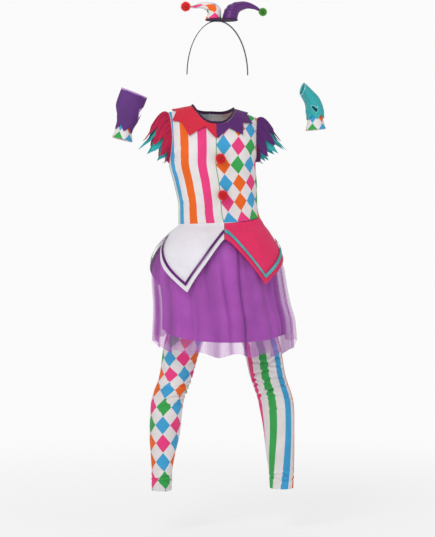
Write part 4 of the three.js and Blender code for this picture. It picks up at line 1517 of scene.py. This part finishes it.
class COSTUME_OT_bodice(CostumeOperator, bpy.types.Operator):
    """Makes the striped and the diamond half of the bodice, front and back"""

    bl_idname = "costume.bodice"
    bl_label = "Bodice"

    def make(self, prints, cloths, folds):
        stripes = striped_knit("bodice_stripes", prints, prints.stripe_pitch, BODICE.stripe_start)
        start = (BODICE.diamond_start, BODICE.diamond_drop - CHEST_RUN * MM)
        diamond = (prints.diamond_width, prints.diamond_height)
        diamonds = diamond_knit("bodice_diamonds", prints, *diamond, start, BODICE_CHART)
        for side, half, slot_name, material in (
            (-1, "left", "stripes", stripes),
            (1, "right", "diamonds", diamonds),
        ):
            for face, where in ((-1, "front"), (1, "back")):
                made = self.panel(f"bodice_{where}_{half}", side, face, cloths, folds)
                wear(made, f"bodice_{where}_{half}", slot_name, material)
                sheet(made, f"bodice_{where}_{half}")

    def panel(self, name, side, face, cloths, folds):
        def cut(u, v, p):
            across, over = bodice_place(u, v, face)
            run = run_across(across) * MM
            return (run if face < 0 else 2 * QUARTER_ARC - run), -drop_over_shoulder(over) * MM

        def relief(u, v, p):
            across, _ = bodice_place(u, v, face)
            depth = crease_depth(BODICE_CREASES, side * run_across(across), p[..., 2])
            edge = np.minimum(share(u, 1, BODICE.flat_side), share(v, 1, BODICE.flat_waist))
            shaped = BODICE.creases * depth * folds.creases * edge * share(u, 0, BODICE.flat_middle)
            return np.minimum(shaped, BODICE.highest)

        def trim(u, v, p):
            from_armhole = (1 - u) * QUARTER_ARC + BODICE.marked
            return np.where(v < BODICE.armhole_to, from_armhole, BODICE.untrimmed)

        point = bodice_point(side, face)
        return cloth(name, point, "bodice", cut, wall=cloths.wall / MM, relief=relief, trim=trim)


class COSTUME_OT_collar(CostumeOperator, bpy.types.Operator):
    """Makes the jagged collar's two halves and the binding round the neck"""

    bl_idname = "costume.collar"
    bl_label = "Collar and binding"

    def make(self, prints, cloths, folds):
        red = plain_cloth("collar_red", cloths.collar_red, "jersey")
        purple = plain_cloth("collar_purple", cloths.collar_purple, "jersey")
        self.half("left", -1, COLLAR_LEFT, "red", red)
        self.half("right", 1, COLLAR_RIGHT, "purple", purple)
        made = cloth("neck_binding", binding_point, "neck_binding", spread("neck_binding"), closed=True)
        wear(made, "neck_binding", "dark", plain_cloth("binding_cloth", cloths.binding, "jersey"))
        sheet(made, "neck_binding")

    def half(self, half, side, outline, slot_name, material):
        def cut(u, v, p):
            across, over = collar_place(outline, u, v)
            return run_across(across) * side * MM, -np.sign(over) * drop_over_shoulder(over) * MM

        def relief(u, v, p):
            spot = u * COLLAR.columns
            soft = 0.5 * np.sin(spot * 1.7 + side) + 0.3 * np.sin(spot * 3.1)
            return (COLLAR.lifted * v**2 + soft * v) * share(v, 0, COLLAR.sewn)

        name = f"collar_{half}"
        edge = from_hem(COLLAR.tall)
        made = cloth(name, collar_point(side, outline), "collar", cut, relief=relief, edge=edge)
        wear(made, name, slot_name, material)
        sheet(made, name)


class COSTUME_OT_sleeves(CostumeOperator, bpy.types.Operator):
    """Makes the two gathered sleeves, each with an upper and a lower layer of petals"""

    bl_idname = "costume.sleeves"
    bl_label = "Sleeves"

    def make(self, prints, cloths, folds):
        crimson = plain_cloth("sleeve_crimson", cloths.crimson, "jersey")
        purple = plain_cloth("sleeve_purple", cloths.collar_purple, "jersey")
        teal = plain_cloth("sleeve_teal", cloths.teal, "jersey")
        for half, upper_slot, upper in (("left", "crimson", crimson), ("right", "purple", purple)):
            self.layer(half, "upper", upper_slot, upper, folds)
            self.layer(half, "lower", "teal", teal, folds)

    def layer(self, half, layer_name, slot_name, material, folds):
        layer = SLEEVE_LAYERS[layer_name]

        def relief(u, v, p):
            turn = u % 1
            angle = turn * TURN
            along = sleeve_along(layer, turn, v)
            cap = mix(GATHERS.underarm, 1, crest(angle))
            pleat = crest(folds.sleeve_pleats * angle + sway(angle, GATHERS.spread))
            lengths = GATHERS.length + GATHERS.uneven * np.sin(5 * angle + 1)
            head = GATHERS.head * pleat * cap * hump(along, 0, lengths) * share(along, 0, GATHERS.sewn)
            curl = np.cos(TURN * (turn * len(layer.lengths) % 1)) * GATHERS.curl
            below = layer.below * share(along, 0, GATHERS.apart_from)
            return GATHERS.raised - head - below + curl * share(along, *GATHERS.curls_over)

        name = f"sleeve_{half}_{layer_name}"
        made = cloth(
            name, sleeve_point(SLEEVES[half], layer), f"sleeve_{layer_name}", spread("sleeve"),
            closed=True, wall=WALLS["sleeve"], relief=relief, edge=from_hem(GATHERS.tall),
        )
        wear(made, name, slot_name, material)
        sheet(made, name)


class COSTUME_OT_overskirt(CostumeOperator, bpy.types.Operator):
    """Makes the four pointed panels over the skirt, each with its ribbon"""

    bl_idname = "costume.overskirt"
    bl_label = "Pointed panels and ribbons"

    def make(self, prints, cloths, folds):
        white = plain_cloth("panel_white", cloths.white, "woven")
        pink = plain_cloth("panel_pink", cloths.pink, "woven")
        purple = plain_cloth("ribbon_purple", cloths.purple_ribbon, "ribbon")
        teal = plain_cloth("ribbon_teal", cloths.teal_ribbon, "ribbon")
        for where, panel in POINTED_PANELS.items():
            left = where.endswith("left")
            self.panel(where, panel, "white" if left else "pink", white if left else pink)
            self.ribbon(where, panel, "purple_satin" if left else "teal_satin", purple if left else teal)

    def panel(self, where, panel, slot_name, material):
        wide = abs(panel.end_at - panel.start_at) / 360 * OVERSKIRT.cut_round

        def cut(u, v, p):
            return u * wide, p[..., 2] * MM

        def edge(u, v, p):
            return (p[..., 2] - pointed_hem(panel, u)) * MM * OVERSKIRT.slant

        def relief(u, v, p):
            above_ribbon = share(p[..., 2] - pointed_hem(panel, u), *SEAM_GATHERS.above_hem)
            gathers = crest(TURN * (SEAM_GATHERS.count * u + 0.3 * np.sin(9 * u)))
            uneven = 0.6 + 0.4 * np.sin(7 * u + 1)
            deep = SEAM_GATHERS.deep[slot_name]
            return deep * gathers * uneven * above_ribbon * share(v, *SEAM_GATHERS.below_seam)

        node = f"skirt_panel_{where}"
        made = cloth(node, panel_point(panel), "skirt_panel", cut, relief=relief, edge=edge)
        wear(made, node, slot_name, material)
        sheet(made, node)

    def ribbon(self, where, panel, slot_name, material):
        wide = abs(panel.end_at - panel.start_at) / 360

        def cut(u, v, p):
            return u * wide, v * RIBBON.cut

        def edge(u, v, p):
            return np.minimum(v, 1 - v) * RIBBON.cut + RIBBON.selvedge

        node = f"ribbon_{where}"
        made = cloth(node, ribbon_point(panel), "ribbon", cut, wall=WALLS["ribbon"], edge=edge)
        wear(made, node, slot_name, material)
        sheet(made, node)


class COSTUME_OT_skirts(CostumeOperator, bpy.types.Operator):
    """Makes the gathered net skirt and the satin skirt under it"""

    bl_idname = "costume.skirts"
    bl_label = "Net skirt and under-skirt"

    def make(self, prints, cloths, folds):
        def net_cut(u, v, p):
            top, z = net_height(u, v)
            return u * NET.cut_round, (z - top) * MM

        # The fold mark: the net's fold depth, with painted shade added in the ruffles' inner troughs. It
        # darkens the net and thickens its cover.
        def fold(u, v, p):
            top, z = net_height(u, v)
            wave = 0.5 - 0.5 * np.cos(u * TURN * NET.waves)
            ruffle = NET.ruffle_shade * wave * share(top - z, 0, NET.ruffle_grows)
            return net_fold(net_degrees(u), top - z) + ruffle

        net = cloth("net_skirt", net_point, "net_skirt", net_cut, closed=True, wall=0, fold=fold)
        wear(net, "net_skirt", "net", sheer_net("purple_net", cloths.net_light, cloths.net_fold_shade))
        sheet(net, "net_skirt")

        def slip_cut(u, v, p):
            return u * SLIP.cut_round, (p[..., 2] - SLIP.waist) * MM

        slip = cloth(
            "under_skirt", slip_point, "under_skirt", slip_cut,
            closed=True, wall=WALLS["slip"], edge=from_hem(SLIP.tall),
        )
        wear(slip, "under_skirt", "slip", plain_cloth("slip_satin", cloths.slip, "satin"))
        sheet(slip, "under_skirt")


class COSTUME_OT_leggings(CostumeOperator, bpy.types.Operator):
    """Makes the diamond and the striped legging and their waistband"""

    bl_idname = "costume.leggings"
    bl_label = "Leggings"

    def make(self, prints, cloths, folds):
        wide, tall = prints.leg_diamond_width, LEG_PRINT.diamond_tall
        diamonds = diamond_knit("leg_diamonds", prints, wide, tall, (0, 0), LEG_CHART)
        pitch, start = prints.leg_stripe_pitch, LEG_PRINT.stripe_start
        stripes = striped_knit("leg_stripes", prints, pitch, start, "PGBO", LEG_PRINT.coloured)

        def diamond_cut(z, run, taken):
            rows = read(LEG_DIAMOND_ROWS, "z", z)
            return (run - rows.shift + taken) * MM, -rows.row * tall + taken * MM

        def stripe_cut(z, run, taken):
            below = np.maximum(LEG_PRINT.spread_below - z, 0)
            run = run + LEG_PRINT.spread * below + LEG_PRINT.spread_more * below**2
            outer = LEG_PRINT.outer_shift * share(run, *LEG_PRINT.outer_from)
            return (run + outer + taken) * MM, z * MM

        for half, side, legs, creases, print_cut, slot_name, material in (
            ("left", -1, LEG_LEFT, LEG_LEFT_CREASES, diamond_cut, "diamonds", diamonds),
            ("right", 1, LEG_RIGHT, LEG_RIGHT_CREASES, stripe_cut, "stripes", stripes),
        ):
            made = self.leg(f"legging_{half}", side, legs, creases, print_cut, cloths, folds)
            wear(made, f"legging_{half}", slot_name, material)
            sheet(made, f"legging_{half}")
        band = cloth(
            "leggings_waistband", waistband_point, "waistband", spread("waistband"),
            closed=True, wall=WALLS["waistband"], relief=self.drawn_in,
        )
        elastic = plain_cloth("waistband_elastic", cloths.purple, "jersey")
        wear(band, "leggings_waistband", "purple", elastic)
        sheet(band, "leggings_waistband")

    def drawn_in(self, u, v, p):
        """The elastic's top edge, drawn in under the skirts."""
        return -WAISTBAND.drawn_in * share(p[..., 2], WAISTBAND.drawn_above, WAISTBAND.top)

    def leg(self, name, side, legs, creases, print_cut, cloths, folds):
        def cut(u, v, p):
            z = legging_height(v)
            run = legging_run(side, legs, u, z)
            return print_cut(z, run, crease_depth(creases, run, z) * CREASE.takes_up)

        def relief(u, v, p):
            z = legging_height(v)
            edge = share(u, 0, LEG.flat_seam) * share(u, 1, 1 - LEG.flat_seam)
            return crease_depth(creases, legging_run(side, legs, u, z), z) * folds.creases * edge

        point = legging_point(side, legs)
        return cloth(name, point, "legging", cut, wall=cloths.wall / MM, relief=relief)


class COSTUME_OT_gloves(CostumeOperator, bpy.types.Operator):
    """Makes the two open-fingered gloves with their jagged hems, and the cuff under each"""

    bl_idname = "costume.gloves"
    bl_label = "Gloves and cuffs"

    def make(self, prints, cloths, folds):
        purple = glove_cloth("glove_purple", cloths.purple, linear(*GLOVE.purple_rim))
        teal = glove_cloth("glove_teal", cloths.teal, linear(*GLOVE.teal_rim))
        cuffs = diamond_knit("cuff_diamonds", prints, CUFF.wide, CUFF.tall, CUFF.start, CUFF_CHART)
        for half, glove_rings, cuff_rings, slot_name, material in (
            ("left", GLOVE_LEFT, CUFF_LEFT, "purple", purple),
            ("right", GLOVE_RIGHT, CUFF_RIGHT, "teal", teal),
        ):
            self.glove(half, glove_rings, slot_name, material)
            self.cuff(half, cuff_rings, cuffs)

    def glove(self, half, rings, slot_name, material):
        def relief(u, v, p):
            angle = u * TURN
            wrist = hump(v, *GLOVE.wrist)
            ripple = np.sin(GLOVE.ripples * v + 1.5 * np.sin(angle)) * crest(angle * 2 + 0.6)
            palm = GLOVE.palm * np.cos(angle * 4) * share(v, GLOVE.palm_to, 0.0)
            return GLOVE.ripple * ripple * wrist + palm - GLOVE.drawn_in

        node = f"glove_{half}"
        made = cloth(
            node, tube_point(rings, 0, GLOVE.petals), "glove", spread("glove"),
            closed=True, relief=relief, hole=THUMB_HOLES[half], fingers=lambda u, v, p: v * GLOVE.tall,
        )
        wear(made, node, slot_name, material)
        sheet(made, node)

    def cuff(self, half, rings, material):
        def relief(u, v, p):
            flare = CUFF.flare * np.cos(5 * u * TURN + 1)
            return flare * share(v, CUFF.flares_from, 1.0) - CUFF.drawn_in

        node = f"cuff_{half}"
        made = cloth(node, tube_point(rings, 0), "cuff", spread("cuff"), closed=True, relief=relief)
        wear(made, node, "diamonds", material)
        sheet(made, node)


class COSTUME_OT_hat(CostumeOperator, bpy.types.Operator):
    """Makes the mini hat: two stuffed horns, the felt base under them and the headband"""

    bl_idname = "costume.hat"
    bl_label = "Mini hat"

    def make(self, prints, cloths, folds):
        diamonds = diamond_knit(
            "horn_diamonds_cloth", prints, HORN.diamond_wide, HORN.diamond_tall, HORN.start, HORN_CHART
        )
        purple = plain_cloth("horn_purple_cloth", cloths.horn_purple, "satin")
        self.horn("horn_diamonds", HORN_DIAMONDS, "diamonds", diamonds)
        self.horn("horn_purple", HORN_PURPLE, "purple", purple)
        self.base(plain_cloth("hat_felt", cloths.binding, "felt"))
        self.headband(plain_cloth("headband_satin", cloths.binding, "satin"))

    def horn(self, name, rings, slot_name, material):
        """A stuffed horn, closed at its root and its tip, with soft folds where it bends."""

        def relief(u, v, p):
            angle = u * TURN
            inner = 0.5 - 0.5 * np.cos(angle)
            ripple = np.cos(HORN.ripples * v + 0.8 * np.sin(2 * angle)) * hump(v, *HORN.bend)
            ends = share(v, 0, HORN.root) * share(v, 1, HORN.tip)
            return (HORN.ripple * ripple * inner - HORN.drawn_in) * ends

        cut = spread("horn", start=HORN.front)
        made = cloth(name, tube_point(rings, HAT_Y), "horn", cut, closed=True, wall=0, relief=relief)
        with editing(made, "DESELECT"):
            bpy.ops.mesh.select_mode(type="EDGE")
            bpy.ops.mesh.select_non_manifold()
            bpy.ops.mesh.edge_face_add()
            bpy.ops.mesh.select_all(action="SELECT")
            bpy.ops.mesh.normals_make_consistent(inside=False)
        wear(made, name, slot_name, material)

    def base(self, material):
        """An oval felt base with a rounded rim, between the horns and the headband."""
        place = Vector((HAT_BASE.x, HAT_Y, HAT_BASE.top - HAT_BASE.thick / 2)) * MM
        bpy.ops.object.select_all(action="DESELECT")
        bpy.ops.mesh.primitive_cylinder_add(
            vertices=96, radius=1, depth=HAT_BASE.thick * MM, location=place
        )
        piece = bpy.context.object
        piece.name = piece.data.name = "hat_base_felt"
        with editing(piece):
            oval = (HAT_BASE.half * MM, HAT_BASE.deep * MM, 1)
            bpy.ops.transform.resize(value=oval, center_override=place)
        bpy.ops.object.transform_apply(location=True, rotation=True, scale=True)
        apply_modifier(piece, "BEVEL", width=HAT_BASE.rim, segments=3, angle_limit=BEVEL_FROM)
        self.trim(piece, "hat_base", material)

    def headband(self, material):
        """A narrow covered band: the upper part of a ring."""
        middle = Vector((HEADBAND.x, HAT_Y, HEADBAND.low)) * MM
        bpy.ops.object.select_all(action="DESELECT")
        bpy.ops.mesh.primitive_cylinder_add(
            vertices=128, radius=1, depth=HEADBAND.width * MM, end_fill_type="NOTHING", location=middle,
            rotation=(QUARTER, 0, 0),
        )
        piece = bpy.context.object
        piece.name = piece.data.name = "headband_band"
        bpy.ops.object.transform_apply(location=True, rotation=True, scale=True)
        with editing(piece):
            oval = (HEADBAND.half * MM, 1, (HEADBAND.top - HEADBAND.low) * MM)
            bpy.ops.transform.resize(value=oval, center_override=middle)
            bpy.ops.mesh.select_all(action="SELECT")
            bpy.ops.mesh.bisect(plane_co=middle, plane_no=(0, 0, 1), clear_inner=True)
        apply_modifier(piece, "SOLIDIFY", thickness=HEADBAND.thick, offset=-1)
        apply_modifier(piece, "BEVEL", width=HEADBAND.rim, segments=2, angle_limit=BEVEL_FROM)
        self.trim(piece, "headband", material)

    def trim(self, piece, node, material):
        smooth(piece, 60)
        lay_cut_map(piece)
        wear(piece, node, "dark", material)


def lay_cut_map(piece):
    """A cut map laid flat over a small trim: metres across and along."""
    layers = piece.data.uv_layers
    while layers:
        layers.remove(layers[0])
    layer = layers.new(name="cut")
    for loop in piece.data.loops:
        x, y, z = piece.data.vertices[loop.vertex_index].co
        layer.data[loop.index].uv = (x, y + z)


class COSTUME_OT_pompoms(CostumeOperator, bpy.types.Operator):
    """Makes the two pompoms of the bodice and the two balls of the horns"""

    bl_idname = "costume.pompoms"
    bl_label = "Pompoms"

    def make(self, prints, cloths, folds):
        yarns = {
            "red": yarn("yarn_red", cloths.yarn_red),
            "green": yarn("yarn_green", cloths.yarn_green),
        }
        for seed, (name, ball) in enumerate(POMPOMS.items()):
            made = self.pompom(name, ball, seed, folds.locks)
            wear(made, name, f"pompom_{ball.colour}", yarns[ball.colour])

    def pompom(self, name, ball, seed, locks):
        """Short tapered locks of yarn that stand out all round a small core."""
        random = np.random.default_rng(YARN.seed + seed)
        centre = np.array(ball.place, float) + (0, ball.pressed, 0)
        k = np.arange(locks)
        height = 1 - (2 * k + 1) / locks
        turn = k * math.pi * (3 - math.sqrt(5))
        ring = np.sqrt(1 - height**2)
        even = spots(ring * np.cos(turn), ring * np.sin(turn), height)
        out = unit(even + random.normal(0, YARN.scatter, (locks, 3)))
        length = ball.radius * random.uniform(YARN.shortest, 1.0, (locks, 1))
        lean = random.normal(0, YARN.lean, (locks, 3))
        side = unit(np.cross(out, unit(random.normal(0, 1, (locks, 3)))))
        other = np.cross(out, side)
        corners = [(math.cos(angle), math.sin(angle)) for angle in (0, TURN / 3, 2 * TURN / 3)]
        rings = []
        for far, thick, _ in YARN.stations:
            middle = centre + (out + lean * far**2) * length * far
            rings += [middle + (side * cosine + other * sine) * thick for cosine, sine in corners]
        each = len(rings)
        points = np.stack(rings, axis=1).reshape(-1, 3)
        start = (k * each)[:, None]
        faces = []
        for low in range(0, each - 3, 3):
            for corner in range(3):
                after = (corner + 1) % 3
                faces.append([low + corner, low + after, low + 3 + after, low + 3 + corner])
        sides = np.concatenate([start + np.array([face]) for face in faces]).tolist()
        caps = (start + np.array([[6, 7, 8]])).tolist() + (start + np.array([[2, 1, 0]])).tolist()
        mesh = bpy.data.meshes.new(name)
        mesh.from_pydata((points * MM).tolist(), [], sides + caps)
        # Painted shade: each lock darkens towards its root, over its own random tone
        shaded_tones = np.repeat([tone for _, _, tone in YARN.stations], 3)
        tone = np.repeat(random.uniform(YARN.darkest, 1, locks), each) * np.tile(shaded_tones, locks)
        mark_points(mesh, "tone", tone)
        made = bpy.data.objects.new(f"{name}_yarn", mesh)
        bpy.context.collection.objects.link(made)
        bpy.ops.object.select_all(action="DESELECT")
        bpy.ops.mesh.primitive_ico_sphere_add(
            subdivisions=3, radius=ball.radius * YARN.core * MM, location=centre * MM
        )
        core = bpy.context.object
        bpy.ops.object.transform_apply(location=True, rotation=True, scale=True)
        # Painted shade: the core is painted darker, deep inside the pompom
        mark_points(core.data, "tone", np.full(len(core.data.vertices), YARN.core_shade))
        made.select_set(True)
        bpy.context.view_layer.objects.active = made
        bpy.ops.object.join()
        with editing(made):
            bpy.ops.mesh.normals_make_consistent(inside=False)
        smooth(made, 80)
        return made


class COSTUME_OT_stage(bpy.types.Operator):
    """Makes the pale floor, the soft light and the camera at the photograph's angle"""

    bl_idname = "costume.stage"
    bl_label = "Floor, light and camera"
    bl_options = {"REGISTER", "UNDO"}

    def execute(self, context):
        stage = context.scene.costume_stage
        bpy.ops.object.select_all(action="DESELECT")
        bpy.ops.mesh.primitive_plane_add(size=FLOOR.size, location=(0, 0, FLOOR.z))
        floor = context.object
        floor.name = "floor"
        bpy.ops.object.transform_apply(location=True, rotation=True, scale=True)
        floor.data.materials.append(floor_material("floor_pale", FLOOR.colour, stage.sky))
        floor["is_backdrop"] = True
        self.surroundings(context, stage)
        for name, lamp in LAMPS.items():
            self.lamp(name, lamp.place, lamp.wide, getattr(stage, lamp.setting) * lamp.part)
        self.camera(context, stage)
        return {"FINISHED"}

    def surroundings(self, context, stage):
        world = bpy.data.worlds.new("pale_surroundings")
        world.use_nodes = True
        tree = world.node_tree
        background = tree.nodes["Background"]
        background.inputs["Color"].default_value = (1.0, 1.0, 1.0, 1)
        seen = tree.nodes.new("ShaderNodeLightPath").outputs["Is Camera Ray"]
        strength = tree.nodes.new("ShaderNodeMapRange")
        strength.inputs["To Min"].default_value = stage.soft
        strength.inputs["To Max"].default_value = stage.sky
        tree.links.new(seen, strength.inputs["Value"])
        tree.links.new(strength.outputs[0], background.inputs["Strength"])
        context.scene.world = world
        context.scene.view_settings.view_transform = "Standard"

    def lamp(self, name, place, wide, power):
        light = bpy.data.lights.new(name, "AREA")
        light.size = wide
        light.energy = power
        lamp = bpy.data.objects.new(name, light)
        lamp.location = place
        towards = Vector(LIT_PLACE) - Vector(place)
        lamp.rotation_euler = towards.to_track_quat("-Z", "Y").to_euler()
        bpy.context.collection.objects.link(lamp)

    def camera(self, context, stage):
        """The camera of the photograph, aimed at the middle of its frame."""
        right = Vector((math.cos(stage.turn), math.sin(stage.turn), 0))
        back = Vector((math.sin(stage.turn), -math.cos(stage.turn), 0))
        target = right * PHOTO.middle_x + Vector((0, 0, PHOTO.middle_z))
        data = bpy.data.cameras.new("photograph")
        camera = bpy.data.objects.new("photograph", data)
        camera.location = target + back * stage.distance + Vector((0, 0, stage.eye - PHOTO.middle_z))
        away = (camera.location - target).length
        camera.rotation_euler = (target - camera.location).to_track_quat("-Z", "Y").to_euler()
        data.sensor_fit = "AUTO"
        data.sensor_width = PHOTO.sensor
        data.lens = PHOTO.sensor * away / (PHOTO.wide * PHOTO.rows / PHOTO.columns)
        data.clip_end = 100
        context.collection.objects.link(camera)
        context.scene.camera = camera


class COSTUME_PT_panel(bpy.types.Panel):
    """Lists the costume's pieces and their sizes and colours"""

    bl_label = "Harlequin costume"
    bl_idname = "COSTUME_PT_panel"
    bl_space_type = "VIEW_3D"
    bl_region_type = "UI"
    bl_category = "Costume"

    def draw(self, context):
        for operator in OPERATORS:
            self.layout.operator(operator.bl_idname)
        for name in SETTINGS:
            group = getattr(context.scene, name)
            box = self.layout.box()
            for setting in group.bl_rna.properties:
                if setting.identifier not in ("rna_type", "name"):
                    box.prop(group, setting.identifier)


OPERATORS = (
    COSTUME_OT_stage,
    COSTUME_OT_leggings,
    COSTUME_OT_skirts,
    COSTUME_OT_bodice,
    COSTUME_OT_collar,
    COSTUME_OT_sleeves,
    COSTUME_OT_overskirt,
    COSTUME_OT_gloves,
    COSTUME_OT_hat,
    COSTUME_OT_pompoms,
)
SETTINGS = {
    "costume_print": PrintSettings,
    "costume_cloth": ClothSettings,
    "costume_folds": FoldSettings,
    "costume_stage": StageSettings,
}


def register():
    for group in SETTINGS.values():
        bpy.utils.register_class(group)
    for operator in OPERATORS:
        bpy.utils.register_class(operator)
    bpy.utils.register_class(COSTUME_PT_panel)
    for name, group in SETTINGS.items():
        setattr(bpy.types.Scene, name, PointerProperty(type=group))


def unregister():
    for name in SETTINGS:
        delattr(bpy.types.Scene, name)
    bpy.utils.unregister_class(COSTUME_PT_panel)
    for operator in reversed(OPERATORS):
        bpy.utils.unregister_class(operator)
    for group in reversed(list(SETTINGS.values())):
        bpy.utils.unregister_class(group)


def main():
    register()
    for operator in OPERATORS:
        category, name = operator.bl_idname.split(".")
        getattr(getattr(bpy.ops, category), name)()
    boxes = {"cad": CAD_BOX, "visual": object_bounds()}
    {name: [list(corner) for corner in box] for name, box in boxes.items()}


if __name__ == "__main__":
    main()
